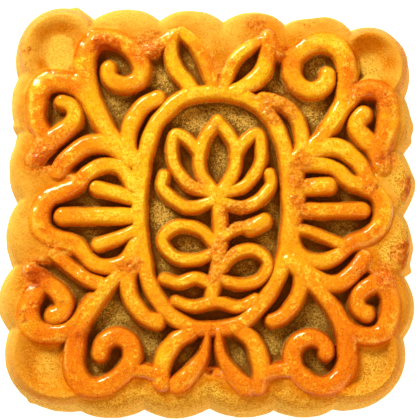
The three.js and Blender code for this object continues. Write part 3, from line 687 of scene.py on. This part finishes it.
def rimHeights(plan, placed):
    # the rim before its bowls are pressed, with what else is measured on the way
    side = softDepth(plan, sideCircles)
    corner = depthInside(plan, cornerCircles)
    depth = np.maximum(np.maximum(side, corner), rim["fillHalf"] - np.abs(plan).max(1))
    kinds = ("top", "bottom", "leftAndRight", "corner")
    heights = {kind: np.interp(depth, *np.array(rim[kind]).T) for kind in kinds}
    diagonal, middle = rim["diagonalBlend"], rim["middleBlend"]
    sideways = ramp(np.abs(plan[:, 0]) - np.abs(plan[:, 1]), -diagonal, diagonal)
    upper = ramp(plan[:, 1], -middle, middle)
    straight = heights["top"] * upper + heights["bottom"] * (1 - upper)
    straight = straight * (1 - sideways) + heights["leftAndRight"] * sideways
    seam = rim["cornerSeam"]
    seamWidth = seam["atEdge"] + seam["widening"] * ramp(depth, *seam["depths"])
    atCorner = ramp((corner - side) / seamWidth, -1, 1)
    height = straight * (1 - atCorner) + heights["corner"] * atCorner
    outside = outsideLip(placed)
    low = block["groundHeight"]
    height = low + (height - low) * np.where(height > low, ramp(outside, -rim["fall"], 0), 1)
    return height, depth, atCorner, outside


def pressBowls(plan, placed, height):
    # the bowls in the corner lobes: the new heights, and where the floors and the slopes are
    bowl = np.zeros(len(plan))
    slope = np.zeros(len(plan))
    for name, (x, y, halfWidth, halfHeight, power, floor) in rim["bowls"].items():
        size = (np.abs((placed[:, 0] - x) / halfWidth) ** power
                + np.abs((placed[:, 1] - y) / halfHeight) ** power)
        pastFloor = (size ** (1 / power) - 1) * (halfWidth + halfHeight) / 2
        away = np.clip(pastFloor, 0, None)
        cornerX, cornerY, radius = block["corners"][name]
        inLobe = radius - rim["bowlEdge"] - np.hypot(plan[:, 0] - cornerX, plan[:, 1] - cornerY)
        toEdge = np.clip(inLobe, 0, None)
        share = ramp(away / (away + toEdge + 1e-6), 0, 1)
        share = np.where((toEdge > 0) & (height > floor), share, 1)
        height = np.where(height > floor, floor + (height - floor) * share, height)
        ragged = pastFloor + uneven(placed, "bowlEdge")
        bowl = np.maximum(bowl, (1 - ramp(ragged, -rim["bowlFade"], rim["bowlFade"])) * (toEdge > 0))
        slope = np.maximum(slope, (1 - share) * ramp(away, *rim["slopeFade"]) * rim["slopeShare"])
    return height, bowl, np.clip(slope, 0, 1)


def spotted(placed, spots):
    # the sum of soft spots, each with a place, a reach and an amount
    amount = np.zeros(len(placed))
    for x, y, reach, more in spots:
        gap = np.hypot(placed[:, 0] - x, placed[:, 1] - y) / reach
        amount += more * np.exp(-gap * gap)
    return amount


def browningAndShade(placed, depth, slope, outside):
    # browner on the slopes of the corner bowls, down the outer edge and just outside the lip; darker down
    # the inside of the lip, which is painted shade
    outer = (1 - ramp(depth, *edgeBrowning["outerDepths"])) * growing(placed, "outerEdge")
    # painted shade down the inside of the lip
    inside = strip(outside, *acrossLip["lipShade"])
    beyondLip = strip(outside, *acrossLip["brownOutside"])
    patchy = edgeBrowning["patches"] + uneven(placed, "browningAndShade")
    more = growing(placed, "brownSlope") * slope + growing(placed, "lipShade") * inside
    more = (more + edgeBrowning["outside"] * beyondLip) * patchy + edgeBrowning["outerEdge"] * outer
    return np.clip(spotted(placed, browningAndShadeSpots) + more, 0, 2)


def crumbliness(placed):
    mask = np.zeros(len(placed))
    for x, y, reach, strength in surface["crumbs"]:
        gap = np.hypot(placed[:, 0] - x, placed[:, 1] - y) + uneven(placed, "crumbEdge")
        mask = np.maximum(mask, strength * (1 - ramp(gap, reach * 0.5, reach * 1.05)))
    return mask


def layRopes(placed, outside, onRim, height, ridge):
    # the ropes laid on the ground, one over another, and how far up a rope's back each point is
    sink = 1 - ornament["sinkAtRim"] * ramp(outside, *acrossLip["ropesSink"])
    for order, (widths, foot, line) in enumerate(ropeLines()):
        reach = max(widths) / 2 * ornament["flankReach"] + foot + ornament["margin"]
        index, distance, along = near(placed, line, reach)
        half = np.interp(along / along.max(), np.linspace(0, 1, len(widths)), widths) / 2
        wander = uneven(placed[index], "ropeEdge", order)
        lift = ropeRise(np.clip(distance + wander, 0, None), half, foot) * sink[index]
        lift = lift * (1 + uneven(along[:, None], "ropeSwelling", order))
        blend = ornament["blend"] + ornament["blendOnRim"] * onRim[index]
        raised = smoothMax(height[index], block["groundHeight"] + lift, blend)
        height[index] = np.where(lift > ornament["leastLift"], raised, height[index])
        back = np.clip(lift / ornament["height"] / sink[index], 0, 1.2)
        shown = 1 - ramp(outside[index], *acrossLip["ropesEnd"])
        ridge[index] = np.maximum(ridge[index], back * shown)


def paintedHighlightLine(distance):
    return np.exp(-(distance / rim["lipWidth"]) ** 2)


def topSurface(plan):
    # places and heights of the top's points, and the masks that its material uses
    placed = skewed(plan)
    height, depth, atCorner, outside = rimHeights(plan, placed)
    height, bowl, slope = pressBowls(plan, placed, height)
    height = height + uneven(placed, "lumps")
    onRim = ramp(outside, *acrossLip["rim"])
    fall = strip(outside, (-rim["fall"], -0.5 * rim["fall"]), acrossLip["fallEnd"])
    ridge = rim["fallRidge"] * fall
    layRopes(placed, outside, onRim, height, ridge)
    for x, y, reach, below in surface["dents"]:
        gap = (placed[:, 0] - x) ** 2 + (placed[:, 1] - y) ** 2
        height = height - below * np.exp(-gap / reach ** 2)
    crumb = crumbliness(placed) * ramp(height, *surface["crumbHeights"])
    height = height + crumb * surface["crumbDepth"] * (uneven(placed, "crumbs") - surface["crumbSink"])
    height = height + uneven(placed, "dimples") * ramp(ridge, *surface["dimpledRidge"])
    # a painted highlight line along the lip and round the corner bowls, stronger towards the top
    lip = paintedHighlightLine(outside + rim["lipShift"]) * growing(placed, "lip")
    lip = lip + paintedHighlightLine(depth - rim["bowlEdge"] - rim["ringShift"]) * atCorner * growing(placed, "ring")
    masks = {
        "ridge": ridge,
        "rim": onRim,
        "lip": np.clip(lip, 0, 1),
        # browning, with the painted shade inside the lip and in the top right bowl
        "brownAndShade": browningAndShade(placed, depth, slope, outside),
        "scorch": spotted(placed, scorchedSpots),
        "sandy": np.clip(spotted(placed, sandySpots), 0, 1) * ramp(outside, *acrossLip["sand"]),
        "band": atCorner * (1 - ramp(depth, *rim["bandFade"])) * growing(placed, "band"),
        "bowl": bowl * growing(placed, "bowl"),
        "crumb": crumb,
    }
    return placed, height, masks


def blurred(field, sigma, step):
    # the field smoothed over this many mm, along both of its axes
    reach = int(3 * sigma / step)
    kernel = np.exp(-0.5 * (np.arange(-reach, reach + 1) * step / sigma) ** 2)
    kernel /= kernel.sum()
    for axis in (0, 1):
        field = np.moveaxis(field, axis, 0)
        padded = np.concatenate([field[:1]] * reach + [field] + [field[-1:]] * reach)
        field = sum(weight * padded[k:k + len(field)] for k, weight in enumerate(kernel))
        field = np.moveaxis(field, 0, axis)
    return field


def hollowShadeMask(plan, height):
    # how far each point lies below the crust round it, from a plain grid of heights: 0.5 is level; deeper
    # points get painted shade
    step, half = hollowGrid["step"], hollowGrid["half"]
    ticks = np.arange(-half, half + step, step)
    grid = np.stack(np.meshgrid(ticks, ticks, indexing="ij"), -1).reshape(-1, 2)
    field = topSurface(grid)[1].reshape(len(ticks), len(ticks))
    smooth = blurred(field, hollowGrid["blur"], step)
    at = (plan + half) / step
    cell = np.clip(at.astype(int), 0, len(ticks) - 2)
    part = np.clip(at - cell, 0, 1)
    u, v = part[:, 0], part[:, 1]
    i, j = cell[:, 0], cell[:, 1]
    around = ((smooth[i, j] * (1 - u) + smooth[i + 1, j] * u) * (1 - v)
              + (smooth[i, j + 1] * (1 - u) + smooth[i + 1, j + 1] * u) * v)
    return np.clip((around - height) / hollowGrid["fullDepth"] + 0.5, 0, 1)


def squeezed(placed, height, outward):
    # points near the outline moved by the dough that was squeezed out or chipped off
    moved = placed.copy()
    edge = ramp(np.hypot(*placed.T), *block["spurFade"])
    for x, y, level, along, up, push in block["spurs"]:
        reach = math.hypot(x, y)
        ahead = (placed @ (x, y)) / reach
        aside = (placed[:, 0] * y - placed[:, 1] * x) / reach
        share = np.exp(-(aside / along) ** 2 - ((height - level) / up) ** 2) * (ahead > 0) * edge
        moved += outward * (push * share)[:, None]
    return moved


def meshRows():
    # the grid of the top's middle, the indices round its edge and its faces
    half, step = meshing["innerHalf"], meshing["innerStep"]
    count = int(2 * half / step)
    ticks = np.linspace(-half, half, count + 1)
    grid = np.stack(np.meshgrid(ticks, ticks, indexing="xy"), -1).reshape(-1, 2)
    index = np.arange((count + 1) ** 2).reshape(count + 1, count + 1)
    edge = np.concatenate([index[0, :-1], index[:-1, -1], index[-1, :0:-1], index[:0:-1, 0]])
    quads = np.stack([index[:-1, :-1], index[:-1, 1:], index[1:, 1:], index[1:, :-1]], -1).reshape(-1, 4)
    return grid, edge, quads


def smoothProfile(profile, step):
    # inset and height down the wall, at even steps along it
    profile = np.array(profile, float)
    gone = np.concatenate([[0], np.cumsum(np.hypot(*np.diff(profile, axis=0).T))])
    at = np.linspace(0, gone[-1], int(gone[-1] / step))
    rounded = np.stack([np.interp(at, gone, profile[:, k]) for k in (0, 1)], 1)
    for _ in range(2):
        rounded[1:-1] = (rounded[:-2] + 2 * rounded[1:-1] + rounded[2:]) / 4
    return rounded


def wallRings(angles, ways):
    # the wall below the rim, ring by ring downwards
    levels = smoothProfile(block["wall"], meshing["wallStep"])[1:]
    placed = skewed(np.concatenate([ways * outlineReach(angles, inset)[:, None] for inset, _ in levels]))
    height = np.repeat(levels[:, 1], len(angles))
    outward = np.tile(ways, (len(levels), 1))
    push = uneven(np.column_stack([placed, height]), "wall") * ramp(height, *block["wallLumpsFade"])
    push = push * ramp(block["groundHeight"] - height, 0, block["smoothBelowTop"])
    return squeezed(placed + outward * push[:, None], height, outward), height


def ringFaces(edge, first, rings):
    # quads from the edge of the grid through all the rings, and the fan that closes the underside
    quads = []
    count = len(edge)
    last = edge
    for _ in range(rings):
        ring = first + np.arange(count)
        quads.append(np.stack([last, ring, np.roll(ring, -1), np.roll(last, -1)], -1))
        last = ring
        first += count
    return quads, np.stack([last, np.full(count, first), np.roll(last, -1)], -1)


def wholeMasks(masks, wallPlaced, wallHeight, caps):
    # the masks of the top, carried on over the wall and the underside
    top, walls = len(masks["rim"]), len(wallHeight)
    usual = wallMarks["elsewhere"]
    whole = {name: np.concatenate([values, np.full(walls + caps, usual.get(name, 0.0))])
             for name, values in masks.items()}
    atBottom = ramp(-wallPlaced[:, 1], *wallMarks["bottomSide"])
    paler = wallMarks["palerTop"] * ramp(wallHeight, *wallMarks["palerHeights"]) * (1 - atBottom)
    whole["brownAndShade"][top:top + walls] = wallMarks["brownFoot"] - paler
    whole["sandy"][top:top + walls] = wallMarks["sand"] + wallMarks["sandAtBottom"] * atBottom
    under = 1 - ramp(wallHeight, *wallMarks["underHeights"])
    whole["under"] = np.concatenate([np.zeros(top), under, np.ones(caps)])
    return whole


def buildCake():
    grid, edge, quads = meshRows()
    start = grid[edge]
    angles = np.arctan2(start[:, 1], start[:, 0])
    ways = np.stack([np.cos(angles), np.sin(angles)], 1)
    rings = meshing["rings"]
    shoulder = block["wall"][0][0]
    rimLine = ways * outlineReach(angles, shoulder)[:, None]
    plan = np.concatenate([grid] + [start + (rimLine - start) * k / rings for k in range(1, rings + 1)])
    placed, height, masks = topSurface(plan)
    # the depth of the hollows, which carries the painted shade
    masks["hollowShade"] = hollowShadeMask(plan, height)
    outward = np.concatenate([placed[:len(grid)] / block["spurSpan"], np.tile(ways, (rings, 1))])
    placed = squeezed(placed, height, outward)
    print("top surface:", len(plan), "points")

    wallPlaced, wallHeight = wallRings(angles, ways)
    foot = wallPlaced[-len(edge):]
    middle = foot.mean(0)
    shrink = meshing["undersideRings"]
    capPlaced = np.concatenate([middle + (foot - middle) * share for share in shrink] + [middle[None]])
    points = np.concatenate([
        np.column_stack([placed, height]),
        np.column_stack([wallPlaced, wallHeight]),
        np.column_stack([capPlaced, np.zeros(len(capPlaced))]),
    ])
    walls = len(wallPlaced) // len(edge)
    ringQuads, fan = ringFaces(edge, len(grid), rings + walls + len(shrink))
    faces = np.concatenate([quads] + ringQuads).tolist() + fan.tolist()
    centre = np.array([*block["centre"], 0])
    masks = wholeMasks(masks, wallPlaced, wallHeight, len(capPlaced))
    piece = maskedPiece((points - centre) * mm, faces, masks)
    thin(piece)
    return piece, centre


def maskedPiece(points, faces, masks):
    mesh = bpy.data.meshes.new("mooncakeCrust")
    mesh.from_pydata(points.tolist(), [], faces)
    mesh.polygons.foreach_set("use_smooth", np.ones(len(faces), bool))
    for name, values in masks.items():
        layer = mesh.attributes.new(name, "FLOAT", "POINT")
        layer.data.foreach_set("value", values.astype(np.float32))
    mesh.update()
    piece = bpy.data.objects.new("mooncakeCrust", mesh)
    bpy.context.scene.collection.objects.link(piece)
    return piece


def thin(piece):
    # fewer triangles where the crust is even
    triangles = sum(len(face.vertices) - 2 for face in piece.data.polygons)
    decimate = piece.modifiers.new("thin", "DECIMATE")
    decimate.ratio = meshing["triangles"] / triangles
    shown = piece.evaluated_get(bpy.context.evaluated_depsgraph_get())
    thinned = bpy.data.meshes.new_from_object(shown)
    piece.modifiers.clear()
    piece.data = thinned
    for face in thinned.polygons:
        face.use_smooth = face.normal.z > meshing["flatBelow"]
    print("mesh thinned from", triangles, "to", sum(len(face.vertices) - 2 for face in thinned.polygons))


class Link:  # a shader socket that Python's signs work on
    def __init__(self, finish, socket):
        self.finish = finish
        self.socket = socket

    def maths(self, operation, *values):
        return self.finish.node("ShaderNodeMath", {"operation": operation}, dict(enumerate(values)))

    def __add__(self, other):
        return self.maths("ADD", self, other)

    def __sub__(self, other):
        return self.maths("SUBTRACT", self, other)

    def __rsub__(self, other):
        return self.maths("SUBTRACT", other, self)

    def __mul__(self, other):
        return self.maths("MULTIPLY", self, other)

    __radd__ = __add__
    __rmul__ = __mul__


class Finish:  # a material under construction
    def __init__(self, name):
        self.material = bpy.data.materials.new(name)
        self.material.use_nodes = True
        self.tree = self.material.node_tree
        self.tree.nodes.clear()

    def node(self, kind, settings=None, values=None, output=0):
        made = self.tree.nodes.new(kind)
        for name, setting in (settings or {}).items():
            setattr(made, name, setting)
        for key, value in (values or {}).items():
            if isinstance(value, Link):
                self.tree.links.new(made.inputs[key], value.socket)
            else:
                made.inputs[key].default_value = value
        return Link(self, made.outputs[output]) if made.outputs else made

    def mask(self, name):
        return self.node("ShaderNodeAttribute", {"attribute_type": "GEOMETRY", "attribute_name": name},
                         output="Fac")

    def noise(self, scale, detail, roughness, seed):
        # noise from 0 to 1 whose grains are this many mm across
        place = self.node("ShaderNodeTexCoord", output="Object")
        shift = (seed, seed * 0.7, seed * 1.3)
        moved = self.node("ShaderNodeVectorMath", {"operation": "ADD"}, {0: place, 1: shift})
        return self.node("ShaderNodeTexNoise", {}, {
            "Vector": moved, "Scale": 1 / (scale * mm), "Detail": detail, "Roughness": roughness})

    def step(self, value, low, high):
        # 0 below the low value, 1 above the high one, smooth between
        return self.node("ShaderNodeMapRange", {"interpolation_type": "SMOOTHSTEP"}, {
            "Value": value, "From Min": low, "From Max": high})

    def blend(self, share, first, second):
        return self.node("ShaderNodeMix", {"data_type": "RGBA"}, {0: share, 6: first, 7: second}, output=2)


crustLook = {
    # painted highlight on the rope crests
    "crest": (0.98, 0.82, 0.09, 1),
    "ropeYellow": (0.90, 0.55, 0.006, 1),
    "ropeOrange": (0.80, 0.22, 0.002, 1),
    # flank colours, darker towards the foot: partly browner wash, partly painted shade
    "flankYellow": (0.78, 0.175, 0.001, 1),
    "flankOrange": (0.48, 0.056, 0.001, 1),
    "scorch": (0.52, 0.080, 0.001, 1),
    # painted shade in the crevices
    "creviceShade": (0.19, 0.054, 0.001, 1),
    # painted highlight along the lip and round the bowls
    "lip": (1.0, 0.74, 0.17, 1),
    "rimPale": (0.88, 0.53, 0.085, 1),
    "rimBrown": (0.72, 0.25, 0.004, 1),
    "bowl": (0.88, 0.61, 0.09, 1),
    "band": (0.82, 0.35, 0.12, 1),
    "sandLight": (0.62, 0.40, 0.095, 1),
    "sandDark": (0.25, 0.135, 0.028, 1),
    "drySand": (0.92, 0.65, 0.10, 1),
    "crumbRed": (0.72, 0.11, 0.002, 1),
    "crumbPale": (1.0, 0.50, 0.09, 1),
    "glint": (1.0, 0.78, 0.05, 1),
    "sandGlint": (0.94, 0.70, 0.13, 1),
    "groundSpeck": (0.62, 0.46, 0.28, 1),
    "rimSpeck": (0.78, 0.60, 0.38, 1),
    "ropeSpeck": (0.84, 0.49, 0.22, 1),
    "underside": (0.42, 0.19, 0.030, 1),
    "roughness": {"bare": 0.82, "washed": 0.40, "noise": 0.4},
    "coat": 0.60,
    "coatRoughness": 0.13,
    "shine": (1, 0.75, 0.2, 1),
    "grain": 0.30,          # depth of the finest grain, in mm
    "grainStrength": 0.8,
    "noises": {             # scale in mm, detail, roughness and seed
        "mottle": (4.0, 3, 0.5, 0.2),
        "patches": (1.3, 3, 0.6, 0.3),
        "fine": (0.46, 4, 0.75, 0.4),
        "grains": (0.19, 2, 0.7, 0.6),
    },
    "browningAndShade": {"mottle": 0.8, "patches": 1.4, "fine": 2.4, "grains": 2.6},
    "shares": {             # how much of each colour shows at most
        "crest": 0.7,
        "bowl": 0.75,
        "band": 0.8,
        "brownSand": 0.6,
        "lip": 0.6,
        "scorch": 0.95,
        "creviceShade": 0.75,
        "glint": 0.48,
        "glintLessOnRim": 0.06,
        "glintLessOnBrown": 0.22,
    },
    "fades": {              # the values of a mask or noise between which each thing comes in
        "crest": (0.96, 1.02),
        "crestBreaks": (0.42, 0.54),
        "back": (0.5, 0.95),
        "sandGrains": (0.36, 0.58),
        "brownSand": (0.3, 0.9),
        "drySand": (0.36, 0.56),
        "sandyRim": (0.45, 0.75),
        "rim": (0.1, 0.9),
        "rope": (0.12, 0.42),
        "lip": (0.42, 0.56),
        "crumbPale": (0.45, 0.6),
        "crumbs": (0.75, 1.05),
        "glint": (0.48, 0.60),
        "scorch": (0.35, 0.8),
        "specks": (0.42, 0.52),
        "creviceShade": (0.82, 1.0),
        "gloss": (0.3, 0.8),
    },
}


def ropeColour(finish, masks, noise, brownedAndShaded):
    # yellow to orange on the backs, redder and darker down the flanks (browner wash, partly painted shade
    # towards the foot), with a broken painted highlight along the crests
    look, fades = crustLook, crustLook["fades"]
    back = finish.blend(brownedAndShaded, look["ropeYellow"], look["ropeOrange"])
    flank = finish.blend(brownedAndShaded, look["flankYellow"], look["flankOrange"])
    breaks = noise["patches"] * 0.5 + noise["fine"] * 0.5 - masks["brownAndShade"] * 0.08
    # painted highlight along the crests, broken by noise
    crest = finish.step(masks["ridge"], *fades["crest"]) * finish.step(breaks, *fades["crestBreaks"])
    back = finish.blend(crest * look["shares"]["crest"], back, look["crest"])
    # the lower flanks darker and redder: browner wash, partly painted shade towards the foot
    onFlank = (1 - finish.step(masks["ridge"], *fades["back"])) * (1 - masks["rim"] * 0.6)
    return finish.blend(onFlank, back, flank)


def rimColour(finish, masks, noise, brownedAndShaded, speck):
    # pale to brown, with the floors and smooth bands of the corners and the dry sand
    look, fades, shares = crustLook, crustLook["fades"], crustLook["shares"]
    colour = finish.blend(brownedAndShaded, look["rimPale"], look["rimBrown"])
    colour = finish.blend(masks["bowl"] * shares["bowl"], colour, look["bowl"])
    colour = finish.blend(masks["band"] * shares["band"], colour, look["band"])
    drySand = finish.blend(finish.step(speck, *fades["drySand"]), look["rimBrown"], look["drySand"])
    sandy = masks["sandy"] * finish.step(noise["patches"] + masks["sandy"] * 0.4, *fades["sandyRim"])
    return finish.blend(sandy, colour, drySand)


def sandColour(finish, masks, noise, speck):
    # the ground between the ropes
    look, fades = crustLook, crustLook["fades"]
    # the sand is painted darker in hollows, as shade
    light = speck - (masks["hollowShade"] - 0.6) * 0.3 + (noise["mottle"] - 0.5) * 0.35
    colour = finish.blend(finish.step(light, *fades["sandGrains"]), look["sandDark"], look["sandLight"])
    brownAndShade = finish.step(masks["brownAndShade"], *fades["brownSand"]) * look["shares"]["brownSand"]
    return finish.blend(brownAndShade, colour, look["sandDark"])


def crustColour(finish, masks, noise):
    look, fades, shares = crustLook, crustLook["fades"], crustLook["shares"]
    patches, fine, grains = noise["patches"], noise["fine"], noise["grains"]
    brownedAndShaded = masks["brownAndShade"]
    for name, amount in look["browningAndShade"].items():
        brownedAndShaded = brownedAndShaded + (noise[name] - 0.5) * amount
    speck = fine * 0.45 + grains * 0.55
    ground = finish.blend(finish.step(masks["rim"], *fades["rim"]), sandColour(finish, masks, noise, speck),
                          rimColour(finish, masks, noise, brownedAndShaded, speck))
    onRope = finish.step(masks["ridge"], *fades["rope"])
    colour = finish.blend(onRope, ground, ropeColour(finish, masks, noise, brownedAndShaded))
    # the painted highlight along the lip and round the bowls, broken by patches
    lip = masks["lip"] * finish.step(patches, *fades["lip"]) * shares["lip"]
    colour = finish.blend(lip, colour, look["lip"])
    crumbs = finish.blend(finish.step(fine, *fades["crumbPale"]), look["crumbRed"], look["crumbPale"])
    colour = finish.blend(masks["crumb"] * finish.step(grains + fine, *fades["crumbs"]), colour, crumbs)
    glint = finish.step(speck + (patches - 0.5) * 0.3, *fades["glint"])
    glint = glint * (shares["glint"] - masks["rim"] * shares["glintLessOnRim"]
                     - masks["brownAndShade"] * shares["glintLessOnBrown"])
    colour = finish.blend(glint, colour, finish.blend(onRope, look["sandGlint"], look["glint"]))
    scorched = finish.step(masks["scorch"] + (patches - 0.5) * 1.6 + (fine - 0.5) * 2.0, *fades["scorch"])
    colour = finish.blend(scorched * shares["scorch"], colour, look["scorch"])
    cleanRim = masks["rim"] * (1 - masks["sandy"] * 0.7)
    speckShade = finish.blend(cleanRim, look["groundSpeck"], look["rimSpeck"])
    speckShade = finish.blend(onRope, speckShade, look["ropeSpeck"])
    darker = finish.node("ShaderNodeMix", {"data_type": "RGBA", "blend_type": "MULTIPLY"}, {
        0: 1 - finish.step(speck, *fades["specks"]), 6: colour, 7: speckShade}, output=2)
    # painted shade in the deepest hollows
    creviceShade = finish.step(masks["hollowShade"], *fades["creviceShade"]) * shares["creviceShade"]
    colour = finish.blend(creviceShade, darker, look["creviceShade"])
    return finish.blend(masks["under"], colour, look["underside"])


def crustMaterial():
    look = crustLook
    finish = Finish("eggWashedCrust")
    names = ("ridge", "rim", "lip", "brownAndShade", "scorch", "sandy", "band", "bowl", "crumb", "hollowShade", "under")
    masks = {name: finish.mask(name) for name in names}
    noise = {name: finish.noise(*numbers) for name, numbers in look["noises"].items()}
    patches, fine, grains = noise["patches"], noise["fine"], noise["grains"]
    gloss = finish.step(masks["ridge"], *look["fades"]["gloss"]) * (1 - masks["crumb"] * 0.7)
    bare, washed = look["roughness"]["bare"], look["roughness"]["washed"]
    roughness = bare - gloss * (bare - washed) + (fine - 0.5) * look["roughness"]["noise"]
    relief = fine * (1 - gloss * 0.3) + grains * (1 - gloss * 0.3) + patches * 0.8 + masks["crumb"] * fine
    bump = finish.node("ShaderNodeBump", {}, {
        "Strength": look["grainStrength"], "Distance": look["grain"] * mm, "Height": relief})
    shader = finish.node("ShaderNodeBsdfPrincipled", {}, {
        "Base Color": crustColour(finish, masks, noise), "Roughness": roughness, "Normal": bump,
        "Coat Weight": gloss * look["coat"], "Coat Roughness": look["coatRoughness"],
        "IOR": 1.4, "Specular IOR Level": 0.2, "Specular Tint": look["shine"]})
    finish.node("ShaderNodeOutputMaterial", {}, {"Surface": shader})
    return finish.material


cake, designCentre = buildCake()
cake.data.materials.clear()
cake.data.materials.append(crustMaterial())
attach(cake, "root")
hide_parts("mooncake")
print("crust in place")

studio = {
    "floorHalf": 1.2,
    "floorGap": 0.2,        # in mm, so that the floor and the underside don't lie in one plane
    "floorColour": (0.86, 0.89, 0.95, 1),
    "floorGlow": (0.74, 0.79, 0.88, 1),
    "floorRoughness": 0.9,
    "world": (0.47, 0.31, 0.105, 1),
    "aim": (0, 0, 0.03),
    "key": {"place": (-0.27, 0.46, 0.43), "size": 0.20, "power": 6.3, "colour": (1, 0.97, 0.78)},
    "fill": {"place": (0.34, -0.42, 0.42), "size": 0.40, "power": 2.0, "colour": (1, 0.64, 0.25)},
}


def addFloor():
    half, below = studio["floorHalf"], -studio["floorGap"] * mm
    mesh = bpy.data.meshes.new("floor")
    corners = [(-half, -half, below), (half, -half, below), (half, half, below), (-half, half, below)]
    mesh.from_pydata(corners, [], [(0, 1, 2, 3)])
    floor = bpy.data.objects.new("floor", mesh)
    bpy.context.scene.collection.objects.link(floor)
    finish = Finish("paleFloor")
    shader = finish.node("ShaderNodeBsdfPrincipled", {}, {
        "Base Color": studio["floorColour"], "Roughness": studio["floorRoughness"],
        "Emission Color": studio["floorGlow"], "Emission Strength": 1.0})
    finish.node("ShaderNodeOutputMaterial", {}, {"Surface": shader})
    floor.data.materials.append(finish.material)


def aimed(thing, place, target):
    thing.location = place
    thing.rotation_euler = (Vector(target) - Vector(place)).to_track_quat("-Z", "Y").to_euler()
    bpy.context.scene.collection.objects.link(thing)


def addLights():
    for name in ("key", "fill"):
        light = bpy.data.lights.new(name, "AREA")
        light.size = studio[name]["size"]
        light.energy = studio[name]["power"]
        light.color = studio[name]["colour"]
        aimed(bpy.data.objects.new(name, light), studio[name]["place"], studio["aim"])
    world = bpy.data.worlds.new("studio")
    world.use_nodes = True
    world.node_tree.nodes["Background"].inputs["Color"].default_value = studio["world"]
    bpy.context.scene.world = world


# Lengths in mm, the tilt in degrees. The focal length is given in pixels of the image.
camera = {
    "target": (0, 0, 33.0),
    "distance": 320,
    "tilt": 5.5,
    "sensor": 36,
    "imageWidth": 420,
    "focalPixels": 1824,
    "nearest": 10,
}


def addCamera(centre):
    tilt = math.radians(camera["tilt"])
    target = (np.array(camera["target"]) - centre) * mm
    place = target + np.array([0, -math.sin(tilt), math.cos(tilt)]) * camera["distance"] * mm
    lens = bpy.data.cameras.new("camera")
    lens.sensor_width = camera["sensor"]
    lens.lens = camera["focalPixels"] / camera["imageWidth"] * camera["sensor"]
    lens.clip_start = camera["nearest"] * mm
    thing = bpy.data.objects.new("camera", lens)
    thing.location = place
    thing.rotation_euler = (tilt, 0, 0)
    bpy.context.scene.collection.objects.link(thing)
    bpy.context.scene.camera = thing


addFloor()
addLights()
addCamera(designCentre)
bpy.context.scene.view_settings.view_transform = "Standard"
print("studio in place")
